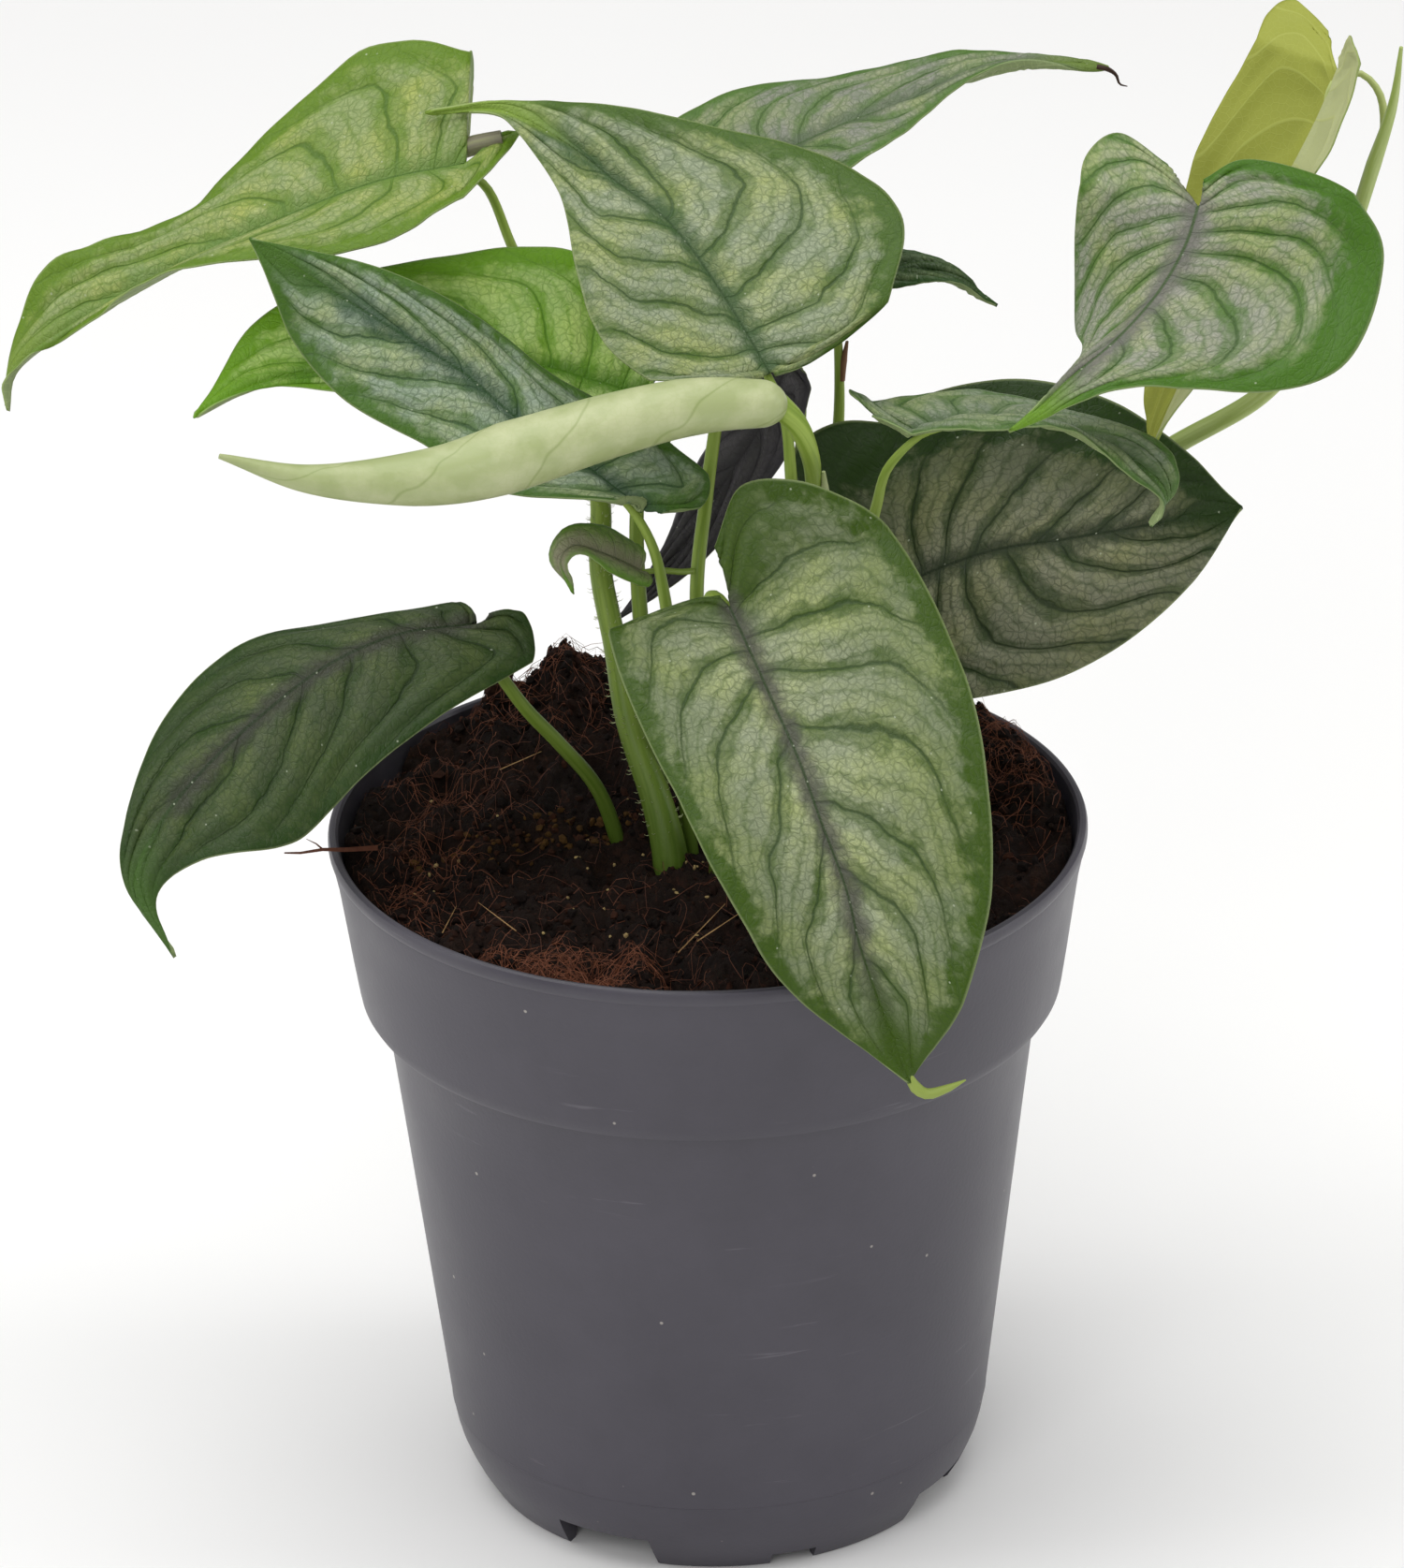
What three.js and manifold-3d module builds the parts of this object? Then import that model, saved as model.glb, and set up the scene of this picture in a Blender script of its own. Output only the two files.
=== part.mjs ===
// A young monstera siltepecana in a round nursery pot: fifteen leaves on their petioles, one climbing
// shoot with a new leaf spike, a bed of peat and the thin-walled plastic pot, in millimetres, +Z up.
// The origin is the middle of the pot's foot, and the plant is seen from the -Y side.
import * as THREE from 'three'
import { mergeVertices } from 'three/addons/utils/BufferGeometryUtils.js'
import Module from 'manifold-3d'

const wasm = await Module()
wasm.setup()

// Driving dimensions of the pot: a nursery pot 12 cm across and 11.4 cm high
const POT_HEIGHT = 114
const RIM_RADIUS = 60
const BAND_LOW_RADIUS = 55.8
const BAND_LOW = 86
const BODY_TOP_RADIUS = 52
const BODY_LOW_RADIUS = 43.1
const BODY_LOW = 13
const FOOT_RADIUS = 38
const FOOT_WIDTH = 2.5
const WALL = 1.3
const FLOOR = 2
const UNDERSIDE = 6.5
const CENTRE_DISC_RADIUS = 22
const LIP = 1
const RIM_ROLL = 7
const DRAIN_RADIUS = 3
const DRAIN_CIRCLE = 28
const DRAINS = 8
const DRAIN_SIDES = 12
const NOTCHES = 4
const NOTCH_TURN = -28
const BIG_NOTCH = { angle: 24, height: 6 }
const SMALL_NOTCH = { angle: 11, height: 2.5 }
const POT_SIDES = 44

// Driving dimensions of the plant and its bed
const GAP = 0.3
const SOIL_LEVEL = 110.5
const SOIL_SIDES = 34
const SOIL_RINGS = 6
const SOIL_EDGE_SINK = 1.2
const BLADE = 0.8
const BLADE_ROWS = 12
const BLADE_COLUMNS = 3
const BELLY = 0.6
const VEIN_SWEEP = 1.3
const DRIP = 0.07
const STALK_SIDES = 7
const ROLL_SIDES = 12
const ROLL_STEPS = 16
const ROLL_LIP = 0.22
const LIP_TWIST = 0.45
const ROOTING = [0.03, 0.1, 0.2]
const ROOT_DEPTH = 0.35

// One half of the heart-shaped outline from the notch round the lobe to the tip: its distance from the
// midrib, its place along the midrib, and the place where the vein that ends there leaves the midrib
const OUTLINE = [
  [0.16, -0.10, 0.00],
  [0.50, -0.16, 0.02],
  [0.84, -0.07, 0.05],
  [0.98, 0.08, 0.10],
  [1.00, 0.24, 0.17],
  [0.93, 0.40, 0.26],
  [0.78, 0.56, 0.37],
  [0.58, 0.70, 0.49],
  [0.35, 0.83, 0.64],
  [0.14, 0.93, 0.82],
  [0.00, 1.00, 1.00],
]
const LOBE_REACH = 0.16
const LAST_STATION = 0.8

const vec = (p) => new THREE.Vector3(...p)
const radians = THREE.MathUtils.degToRad

// A closed solid from its corner points and triangles
function solid(points, triangles) {
  const geometry = new THREE.BufferGeometry()
  geometry.setFromPoints(points)
  geometry.setIndex(triangles.flat())
  return toManifold(geometry)
}

function toManifold(geometry) {
  const bare = geometry.clone()
  bare.deleteAttribute('normal')
  bare.deleteAttribute('uv')
  const merged = mergeVertices(bare, 1e-4)
  const index = Array.from(merged.index.array)
  const kept = []
  for (let i = 0; i < index.length; i += 3) {
    const [a, b, c] = index.slice(i, i + 3)
    if (a !== b && b !== c && c !== a) kept.push(a, b, c)
  }
  const mesh = new wasm.Mesh({
    numProp: 3,
    vertProperties: Float32Array.from(merged.attributes.position.array),
    triVerts: Uint32Array.from(kept),
  })
  return new wasm.Manifold(mesh)
}

function largest(shape) {
  return shape.decompose().sort((a, b) => b.volume() - a.volume())[0]
}

function toGeometry(shape) {
  const { vertProperties, triVerts, numProp } = shape.getMesh()
  const corners = []
  for (let i = 0; i < vertProperties.length; i += numProp) corners.push(...vertProperties.slice(i, i + 3))
  const geometry = new THREE.BufferGeometry()
  geometry.setAttribute('position', new THREE.Float32BufferAttribute(corners, 3))
  geometry.setIndex(Array.from(triVerts))
  const flat = geometry.toNonIndexed()
  flat.computeVertexNormals()
  return flat
}

// A round tapering stalk through the given points, closed at both ends. A lip makes its section a
// spiral, as on a leaf that is still rolled up.
function stalk(points, radii, { sides = STALK_SIDES, steps = points.length * 2, grow = 0, lip = 0 } = {}) {
  const curve = new THREE.CatmullRomCurve3(points.map(vec), false, 'centripetal')
  const radius = (u) => {
    const at = u * (radii.length - 1)
    const low = Math.min(Math.floor(at), radii.length - 2)
    return THREE.MathUtils.lerp(radii[low], radii[low + 1], at - low) + grow
  }
  const frames = curve.computeFrenetFrames(steps, false)
  const overlap = (k, u) => 1 + lip * ((((k / sides + LIP_TWIST * u) % 1) + 1) % 1 - 0.5)
  const corners = []
  for (let i = 0; i <= steps; i++) {
    const centre = curve.getPointAt(i / steps)
    for (let k = 0; k < sides; k++) {
      const turn = (2 * Math.PI * k) / sides
      const arm = frames.normals[i].clone().multiplyScalar(Math.cos(turn))
      arm.addScaledVector(frames.binormals[i], Math.sin(turn))
      corners.push(centre.clone().addScaledVector(arm, radius(i / steps) * overlap(k, i / steps)))
    }
  }
  const start = corners.push(curve.getPointAt(0).addScaledVector(curve.getTangentAt(0), -grow)) - 1
  const end = corners.push(curve.getPointAt(1).addScaledVector(curve.getTangentAt(1), grow)) - 1
  const triangles = []
  for (let k = 0; k < sides; k++) {
    const next = (k + 1) % sides
    for (let i = 0; i < steps; i++) {
      const [a, b, c, d] = [i * sides + k, i * sides + next, (i + 1) * sides + next, (i + 1) * sides + k]
      triangles.push([a, b, c], [a, c, d])
    }
    triangles.push([start, next, k], [end, steps * sides + k, steps * sides + next])
  }
  return solid(corners, triangles)
}

// A value between even stations from the midrib's base to LAST_STATION of its length
function between(stations, y) {
  const curve = new THREE.CatmullRomCurve3(stations.map(vec), false, 'catmullrom')
  return curve.getPoint(THREE.MathUtils.clamp(y / LAST_STATION, 0, 1))
}

// The outline's values at a share s of its way from notch to tip, with a drawn-out drip tip
function outlineAt(s, drip) {
  const rows = OUTLINE.map(([x, y, ym]) => new THREE.Vector3(x, y, ym))
  const last = rows.length - 2
  const stretch = (1 - drip) / OUTLINE[last][1]
  rows.forEach((row, i) => {
    if (i <= last && row.y > 0) row.y *= stretch
    if (i <= last) row.z *= stretch
  })
  return new THREE.CatmullRomCurve3(rows, false, 'catmullrom').getPoint(s)
}

// A leaf blade: a sheet of even thickness hung on its midrib. Left and right are seen from the upper
// face with the tip away; each half is given by its full half-width at even stations, and each lobe
// by how far it reaches back behind the petiole. A wave of its edge has a height, a count and a phase.
function blade(leaf) {
  const { rib, left, right, lobes, drip = DRIP, wave = [0, 0, 0], rows = BLADE_ROWS } = leaf
  const curve = ribCurve(rib)
  const [height, count, phase] = wave
  const place = (s, side, t) => {
    const edge = outlineAt(s, drip)
    const x = Math.max(edge.x, 0) * t
    const y = edge.z + (edge.y - edge.z) * t ** VEIN_SWEEP
    const along = THREE.MathUtils.clamp(y, 0, 1)
    const half = between(side < 0 ? left : right, along)
    const point = curve.getPointAt(along).addScaledVector(half, x)
    if (y < 0) point.addScaledVector(vec(lobes[side < 0 ? 0 : 1]), -y / LOBE_REACH)
    const ripple = height * t ** 3 * Math.sin(2 * Math.PI * (count * s + phase + (side < 0 ? 0.37 : 0)))
    const swell = BELLY * 4 * x * (1 - x) * Math.min(1, 4 * (1 - along))
    return point.addScaledVector(upAt(leaf, curve, along), ripple + swell)
  }
  const sheet = []
  for (let i = 0; i < rows; i++) {
    for (let j = -BLADE_COLUMNS; j <= BLADE_COLUMNS; j++) {
      sheet.push(place(i / rows, Math.sign(j), Math.abs(j) / BLADE_COLUMNS))
    }
  }
  const tip = sheet.push(curve.getPointAt(1)) - 1
  const wide = 2 * BLADE_COLUMNS + 1
  const at = (i, j) => (i >= rows ? tip : i * wide + j)
  const faces = []
  for (let i = 0; i < rows; i++) {
    for (let j = 0; j < wide - 1; j++) {
      const [a, b, c, d] = [at(i, j), at(i, j + 1), at(i + 1, j + 1), at(i + 1, j)]
      if (i === rows - 1) faces.push([a, b, c])
      else if (j < BLADE_COLUMNS) faces.push([a, b, d], [b, c, d])
      else faces.push([a, b, c], [a, c, d])
    }
  }
  const rim = []
  for (let j = 0; j < wide; j++) rim.push(at(0, j))
  for (let i = 1; i < rows; i++) rim.push(at(i, wide - 1))
  rim.push(tip)
  for (let i = rows - 1; i > 0; i--) rim.push(at(i, 0))
  return thicken(sheet, faces, rim)
}

// A sheet's two faces stand half the blade's thickness off it, with the same triangles on both
function thicken(sheet, faces, rim) {
  const facing = faces.map(([a, b, c]) => (
    new THREE.Triangle(sheet[a], sheet[b], sheet[c]).getNormal(new THREE.Vector3())
  ))
  const normals = sheet.map(() => new THREE.Vector3())
  faces.forEach((face, f) => face.forEach((v) => normals[v].add(facing[f])))
  normals.forEach((normal) => normal.normalize())
  const reach = sheet.map(() => BLADE / 2)
  faces.forEach((face, f) => face.forEach((v) => {
    reach[v] = Math.max(reach[v], BLADE / 2 / Math.max(0.6, normals[v].dot(facing[f])))
  }))
  const tops = sheet.map((p, v) => p.clone().addScaledVector(normals[v], reach[v]))
  const unders = sheet.map((p, v) => p.clone().addScaledVector(normals[v], -reach[v]))
  const count = sheet.length
  const triangles = []
  faces.forEach(([a, b, c]) => triangles.push([a, b, c], [count + a, count + c, count + b]))
  rim.forEach((v, k) => {
    const next = rim[(k + 1) % rim.length]
    triangles.push([next, v, count + v], [next, count + v, count + next])
  })
  return solid([...tops, ...unders], triangles)
}

function ribCurve(rib) {
  return new THREE.CatmullRomCurve3(rib.map(vec), false, 'centripetal')
}

// The direction out of the blade's upper face at a share of the midrib's length
function upAt(leaf, curve, along) {
  const across = between(leaf.right, along).sub(between(leaf.left, along))
  return across.cross(curve.getTangentAt(along)).normalize()
}

// A petiole runs on under the blade and sinks into it along the first part of the midrib
function petiole(leaf, grow = 0) {
  const curve = ribCurve(leaf.rib)
  const root = ROOTING.map((along) => (
    curve.getPointAt(along).addScaledVector(upAt(leaf, curve, along), -ROOT_DEPTH).toArray()
  ))
  const { thick = [1.3, 1.05] } = leaf
  const tip = thick[thick.length - 1]
  const radii = leaf.stalk.map((p, i) => {
    const at = (i / (leaf.stalk.length - 1)) * (thick.length - 1)
    const low = Math.min(Math.floor(at), thick.length - 2)
    return THREE.MathUtils.lerp(thick[low], thick[low + 1], at - low)
  })
  return stalk([...leaf.stalk, ...root], [...radii, tip * 0.9, tip * 0.65, 0.3], { grow })
}

// The leaves, each with its midrib from petiole to tip, its half-widths and lobes, and its petiole
const leaves = {
  leaf_top_left: {
    color: 0x7f9c5c,
    wave: [1.4, 3, 0.1],
    rib: [
      [-36, 34, 213], [-50, 32, 211], [-69, 28, 205], [-86, 24, 198], [-99, 20, 192],
      [-107, 17, 186], [-108, 14, 181],
    ],
    left: [[0, -10, -3], [4, -14, -3], [-3, -14, 0], [-5, -11, 0], [0, -8, 1]],
    right: [[1, 14, 13], [2, 17, 13], [-2, 13, 9], [-3, 10, 5], [-11, 16, 13]],
    lobes: [[9, 10, 5], [1, 8, 0]],
    stalk: [
      [-6, -9, 98], [-6, -9, 112], [-8, -6, 121], [-12, -1, 132], [-14, 5, 143], [-16, 11, 153],
      [-16, 18, 163], [-20, 26, 172], [-24, 34, 186], [-29, 38, 197], [-33, 39, 207],
    ],
    thick: [2.6, 2.9, 2.5, 2.1, 1.9, 1.8, 1.7, 1.4, 1.1, 0.9, 0.8],
  },
  leaf_middle: {
    color: 0x86a07c,
    drip: 0.15,
    wave: [0.8, 3, 0.3],
    rib: [
      [11, -2, 192], [4, 8, 201], [-4, 18, 209], [-12, 25, 213], [-19, 30, 217], [-30, 38, 220],
      [-42, 38, 220],
    ],
    left: [[-20, -10, 3], [-19, -14, 0], [-16, -15, -2], [-9, -9, -3], [-7, -7, -3]],
    right: [[20, 7, 9], [28, 8, 9], [28, 8, 8], [17, 8, 8], [12, 6, 9]],
    lobes: [[3, -2, 0], [-2, -4, 0]],
    stalk: [[6, -4, 100], [10, -5, 135], [14, -6, 155], [14, -6, 176], [13, -4, 186]],
  },
  leaf_back_right: {
    color: 0x7f9876,
    wave: [0.7, 3, 0],
    rib: [
      [3, 36, 207], [14, 41, 211], [24, 45, 214], [34, 49, 216], [44, 51, 219], [56, 51, 221],
      [66, 49, 218],
    ],
    left: [[-6, 15, 6], [-5, 14, 5], [-4, 14, 2], [-1, 12, 1], [0, 12, 0]],
    right: [[6, -12, -3], [7, -12, -1], [5, -11, 0], [1, -8, 1], [0, -4, 1]],
    lobes: [[-5, 8, 1], [-5, -4, -2]],
    stalk: [[2, 2, 100], [-1, 6, 150], [1, 14, 165], [4, 24, 184], [4, 33, 200]],
  },
  leaf_small_back: {
    color: 0x5f7d4e,
    rib: [[21, 24, 196], [27, 26, 197], [34, 26, 197], [40, 24, 196], [47, 22, 192]],
    left: [[-1, 5, 1], [-1, 5, 1], [0, 5, 1]],
    right: [[1, -4, -2], [1, -4, -2], [0, -4, 0]],
    lobes: [[-3, 2, 0], [-3, -2, 0]],
    stalk: [[9, 7, 100], [19, 20, 150], [22, 27, 171], [22, 27, 188]],
    thick: [1.3, 1.1],
  },
  leaf_left: {
    color: 0x7c9a78,
    wave: [0.6, 3, 0.2],
    rib: [
      [-9, -8, 172], [-18, -4, 178], [-28, 0, 184], [-36, 4, 190], [-47, 6, 197], [-58, 8, 204],
      [-69, 8, 212],
    ],
    left: [[-5, -9, 5], [-9, -8, -3], [-8, -8, -8], [-12, -9, -12], [-15, -8, -17]],
    right: [[11, 11, 1], [6, 10, 3], [9, 9, 8]],
    lobes: [[2, 3, 0], [4, 1, 0]],
    stalk: [[-2, -4, 100], [-4, -4, 129], [-6, -6, 156], [-8, -7, 166]],
  },
  leaf_bright: {
    color: 0x6f9c3e,
    wave: [1.2, 3, 0.15],
    rib: [
      [-8, 24, 177], [-17, 24, 180], [-25, 23, 183], [-43, 21, 185], [-58, 18, 185], [-69, 15, 184],
      [-79, 12, 180],
    ],
    left: [[0, -12, -8], [2, -14, -8], [0, -5, 0]],
    right: [[2, 13, 12], [2, 15, 14], [-12, 15, 14]],
    lobes: [[4, 2, 0], [2, 2, 1]],
    stalk: [[-6, -1, 100], [-8, 3, 126], [-10, 8, 148], [-10, 15, 163], [-8, 22, 173]],
    thick: [1.6, 1.2],
  },
  leaf_front: {
    color: 0x7d9c70,
    wave: [0.9, 3, 0.4],
    rib: [
      [4, -25, 163], [8, -34, 157], [11, -40, 152], [14, -46, 147], [17, -52, 140], [21, -58, 130],
      [23, -62, 122], [30, -68, 102],
    ],
    left: [[26, 6, 12], [29, 4, 3], [33, -6, -7]],
    right: [[-20, -6, -2], [-20, -7, -2], [-26, -6, -5]],
    lobes: [[-10, 4, 11], [3, 5, 1]],
    stalk: [[1, -11, 100], [2, -12, 132], [1, -15, 152], [1, -19, 163], [3, -23, 165]],
    thick: [1.4, 1.6],
  },
  leaf_heart: {
    color: 0x86a17c,
    wave: [0.8, 3, 0.6],
    rib: [
      [77, -6, 220], [75, -9, 215], [71, -12, 209], [64, -17, 203], [58, -22, 200], [51, -28, 196],
      [47, -31, 194],
    ],
    left: [[26, 4, 0], [32, 4, -3], [33, -7, -8], [27, -8, -6], [22, -4, -1]],
    right: [[-19, 8, 1], [-15, 12, -3], [-10, 12, -8], [-3, 8, -3], [1, 4, 1]],
    lobes: [[-5, 6, 4], [-2, 10, 6]],
    onShoot: true,
    stalk: [[94, 23, 183], [91, 10, 190], [87, 0, 198], [82, -3, 208], [78, -5, 217]],
    thick: [1.2, 1.0],
  },
  leaf_young: {
    color: 0xa3ad5a,
    wave: [0.8, 3, 0.1],
    rib: [[100, 16, 233], [97, 16, 225], [91, 15, 213], [83, 14, 198], [76, 13, 183], [71, 12, 172]],
    left: [[-14, 10, 2], [-13, 10, 0], [-10, 4, -5]],
    right: [[2, -12, 6], [1, -12, 6], [1, -9, 4]],
    lobes: [[1, 12, 4], [-1, 3, 4]],
    onShoot: true,
    stalk: [[103, 19, 208], [106, 18, 217], [107, 17, 223], [106, 17, 229], [103, 17, 232]],
    thick: [1.0, 0.8],
  },
  leaf_arching: {
    color: 0x6f8f62,
    wave: [0.9, 3, 0.5],
    rib: [
      [32, -8, 184], [40, -10, 187], [50, -13, 188], [59, -16, 187], [66, -19, 184], [71, -21, 178],
      [69, -23, 174],
    ],
    left: [[-3, 14, -3], [-1, 14, -3], [9, 10, 0]],
    right: [[1, -10, 3], [0, -10, 3], [-4, -8, 0]],
    lobes: [[-7, 6, 3], [-6, 2, 3]],
    stalk: [[14, -4, 100], [19, -4, 137], [23, -4, 154], [27, -6, 170], [29, -8, 178]],
  },
  leaf_low_right: {
    color: 0x5c7750,
    wave: [1, 3, 0.2],
    rib: [[31, 8, 150], [35, 9, 152], [46, 11, 155], [56, 12, 156], [71, 13, 158], [85, 12, 161]],
    left: [[-3, 13, 25], [5, 12, 24], [7, 11, 23]],
    right: [[-3, -9, -18], [1, -11, -21], [8, -10, -21]],
    lobes: [[-15, 4, 5], [-12, -2, -2]],
    stalk: [[14, 3, 100], [16, 4, 120], [23, 5, 140], [28, 8, 146]],
  },
  leaf_low_left: {
    color: 0x6b8560,
    drip: 0.14,
    wave: [1, 3, 0.7],
    rib: [
      [-36, -8, 153], [-47, -11, 153], [-58, -15, 150], [-68, -19, 144], [-78, -23, 136],
      [-86, -27, 127], [-89, -30, 119], [-83, -36, 110],
    ],
    left: [[10, -4, -5], [6, -8, -13], [9, -9, -16], [17, -9, -16], [19, -8, -5]],
    right: [[-4, 7, 0], [-5, 9, 0], [-9, 14, 2], [-12, 13, 2], [-9, 11, 1]],
    lobes: [[2, 6, 4], [2, 0, 0]],
    stalk: [[-12, 2, 100], [-17, -1, 120], [-23, -4, 130], [-28, -6, 137], [-34, -8, 147]],
  },
  leaf_tiny: {
    color: 0x6f8f52,
    rows: 8,
    rib: [[-9.6, -4.6, 160], [-15, -7, 164], [-20, -8, 166], [-22, -9, 164], [-20, -11, 159]],
    left: [[1, -3, -2], [1, -3, -2], [3, -2, 0]],
    right: [[-1, 4, 3], [-1, 4, 3], [-3, 3, 0]],
    lobes: [[1, 0, 0], [1, 0, 0]],
    stalk: [[-1.6, 6.3, 154.6], [-3.4, 3, 156], [-6.5, -0.6, 158], [-9, -4, 159.4]],
    thick: [0.5, 0.5],
  },
  leaf_folded: {
    color: 0x5d5a5c,
    rows: 10,
    rib: [[14, 22, 183], [10, 22, 173], [3, 21, 162], [-3, 20, 152], [-14, 17, 141]],
    left: [[4, -3, -4], [4, -3, -4], [4, -3, -4]],
    right: [[-4, 5, 0], [-5, 6, 0], [-4, 4, 0]],
    lobes: [[1, 0, 1], [0, 0, 1]],
    stalk: [[5, 9, 100], [12, 20, 150], [16, 26, 169], [16, 26, 180]],
    thick: [1.1, 0.9],
  },
}

// The pot: one wall turned round the axis, with a drain floor and a notched foot
function pot() {
  const profile = [
    [0, 0], [CENTRE_DISC_RADIUS, 0], [CENTRE_DISC_RADIUS + 1, UNDERSIDE],
    [FOOT_RADIUS - FOOT_WIDTH - 0.5, UNDERSIDE], [FOOT_RADIUS - FOOT_WIDTH, 0], [FOOT_RADIUS, 0],
    [FOOT_RADIUS + 1.7, 3.5], [BODY_LOW_RADIUS - 1.2, 8], [BODY_LOW_RADIUS, BODY_LOW],
    [BODY_TOP_RADIUS, BAND_LOW - LIP], [BAND_LOW_RADIUS - 1.5, BAND_LOW - 0.4],
    [BAND_LOW_RADIUS, BAND_LOW + 1.5], [RIM_RADIUS - WALL, POT_HEIGHT - RIM_ROLL],
    [RIM_RADIUS, POT_HEIGHT - LIP], [RIM_RADIUS - LIP / 2, POT_HEIGHT],
    [RIM_RADIUS - 1.5 * LIP, POT_HEIGHT - LIP / 3], ...inside(0).reverse(),
    [CENTRE_DISC_RADIUS, UNDERSIDE + WALL], [CENTRE_DISC_RADIUS - 1.5, FLOOR], [0, FLOOR],
  ]
  const turned = new THREE.LatheGeometry(profile.map(([x, y]) => new THREE.Vector2(x, y)), POT_SIDES)
  let shape = toManifold(turned.rotateX(Math.PI / 2))
  for (let k = 0; k < NOTCHES; k++) {
    const turn = NOTCH_TURN + (360 / NOTCHES) * k
    shape = shape.subtract(notch(turn, BIG_NOTCH)).subtract(notch(turn + 180 / NOTCHES, SMALL_NOTCH))
  }
  for (let k = 0; k < DRAINS; k++) {
    const drill = new THREE.CylinderGeometry(DRAIN_RADIUS, DRAIN_RADIUS, 2 * UNDERSIDE, DRAIN_SIDES)
    const turn = radians(NOTCH_TURN + (360 / DRAINS) * k)
    drill.rotateX(Math.PI / 2)
    drill.translate(DRAIN_CIRCLE * Math.sin(turn), -DRAIN_CIRCLE * Math.cos(turn), UNDERSIDE)
    shape = shape.subtract(toManifold(drill))
  }
  return shape
}

// The pot's inner wall from the floor to the lip, drawn in by a clearance for what fills it
function inside(clearance) {
  const wall = [
    [BODY_LOW_RADIUS - WALL - 1.5, UNDERSIDE + WALL + clearance], [BODY_LOW_RADIUS - WALL, BODY_LOW + 1],
    [BODY_TOP_RADIUS - WALL, BAND_LOW], [BAND_LOW_RADIUS - WALL, BAND_LOW + 3],
    [RIM_RADIUS - 2 * WALL, POT_HEIGHT - RIM_ROLL],
  ]
  return wall.map(([x, y]) => [x - clearance, y])
}

// A notch cut right through the foot from below
function notch(turn, { angle, height }) {
  const flare = Math.tan(radians(angle / 2))
  const [near, far] = [FOOT_RADIUS - 4, BODY_LOW_RADIUS + 4]
  const plate = new THREE.Shape([
    new THREE.Vector2(near, -near * flare), new THREE.Vector2(far, -far * flare),
    new THREE.Vector2(far, far * flare), new THREE.Vector2(near, near * flare),
  ])
  const cutter = new THREE.ExtrudeGeometry(plate, { depth: height + 1, bevelEnabled: false })
  cutter.translate(0, 0, -1).rotateZ(radians(turn - 90))
  return toManifold(cutter)
}

// Height of the peat: heaped towards the back, low at the front, with clods and a ridge on the left
function soilHeight(x, y) {
  const back = THREE.MathUtils.smoothstep(y, -10, 45)
  const mound = (cx, cy, wide, deep) => Math.exp(-(((x - cx) / wide) ** 2) - ((y - cy) / deep) ** 2)
  const clods = 1.1 * Math.sin(x * 0.31 + 1.3) * Math.cos(y * 0.27 - x * 0.11)
  const crumbs = 0.7 * Math.sin(x * 0.83 + y * 0.41) * Math.sin(y * 0.77 - 0.6)
  const heap = 5 * back * Math.exp(-(((x + 22) / 28) ** 2)) + 6 * mound(-20, 50, 15, 12)
  const rightHeap = 5 * back * Math.exp(-(((x - 50) / 18) ** 2)) + 2 * mound(50, 24, 10, 14)
  const ridge = 3 * Math.exp(-(((y - 2 - 0.25 * (x + 25)) / 6) ** 2) - ((x + 28) / 22) ** 2)
  return SOIL_LEVEL + heap + rightHeap + ridge + clods + crumbs
}

// The bed of peat fills the pot: rings of its bumpy top from the middle out, then its wall down
function soil() {
  const wall = inside(GAP).reverse()
  const points = []
  const turn = (ring, k) => (2 * Math.PI * (k + 0.5 * (ring % 2))) / SOIL_SIDES
  for (let ring = 1; ring <= SOIL_RINGS; ring++) {
    const radius = (wall[0][0] + GAP) * (ring / SOIL_RINGS) ** 0.85
    const sink = ring === SOIL_RINGS ? SOIL_EDGE_SINK : 0
    for (let k = 0; k < SOIL_SIDES; k++) {
      const [x, y] = [radius * Math.cos(turn(ring, k)), radius * Math.sin(turn(ring, k))]
      points.push(new THREE.Vector3(x, y, soilHeight(x, y) - sink))
    }
  }
  for (const [radius, height] of wall) {
    for (let k = 0; k < SOIL_SIDES; k++) {
      const around = turn(SOIL_RINGS, k)
      points.push(new THREE.Vector3(radius * Math.cos(around), radius * Math.sin(around), height))
    }
  }
  const lastRing = SOIL_RINGS + wall.length - 1
  const centre = points.push(new THREE.Vector3(0, 0, soilHeight(0, 0))) - 1
  const under = points.push(new THREE.Vector3(0, 0, wall[wall.length - 1][1])) - 1
  const triangles = []
  for (let k = 0; k < SOIL_SIDES; k++) {
    const next = (k + 1) % SOIL_SIDES
    triangles.push([centre, k, next], [under, lastRing * SOIL_SIDES + next, lastRing * SOIL_SIDES + k])
    for (let ring = 0; ring < lastRing; ring++) {
      const [a, b] = [ring * SOIL_SIDES + k, ring * SOIL_SIDES + next]
      const [c, d] = [a + SOIL_SIDES, b + SOIL_SIDES]
      const shifted = ring < SOIL_RINGS - 1 && ring % 2 === 1
      if (shifted) triangles.push([a, c, d], [a, d, b])
      else triangles.push([a, c, b], [b, c, d])
    }
  }
  return solid(points, triangles)
}

const plant = new THREE.Group()

function add(name, shape, color, roughness) {
  const material = new THREE.MeshStandardMaterial({ color, roughness, metalness: 0 })
  const mesh = new THREE.Mesh(toGeometry(shape), material)
  mesh.name = name
  plant.add(mesh)
}

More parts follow.
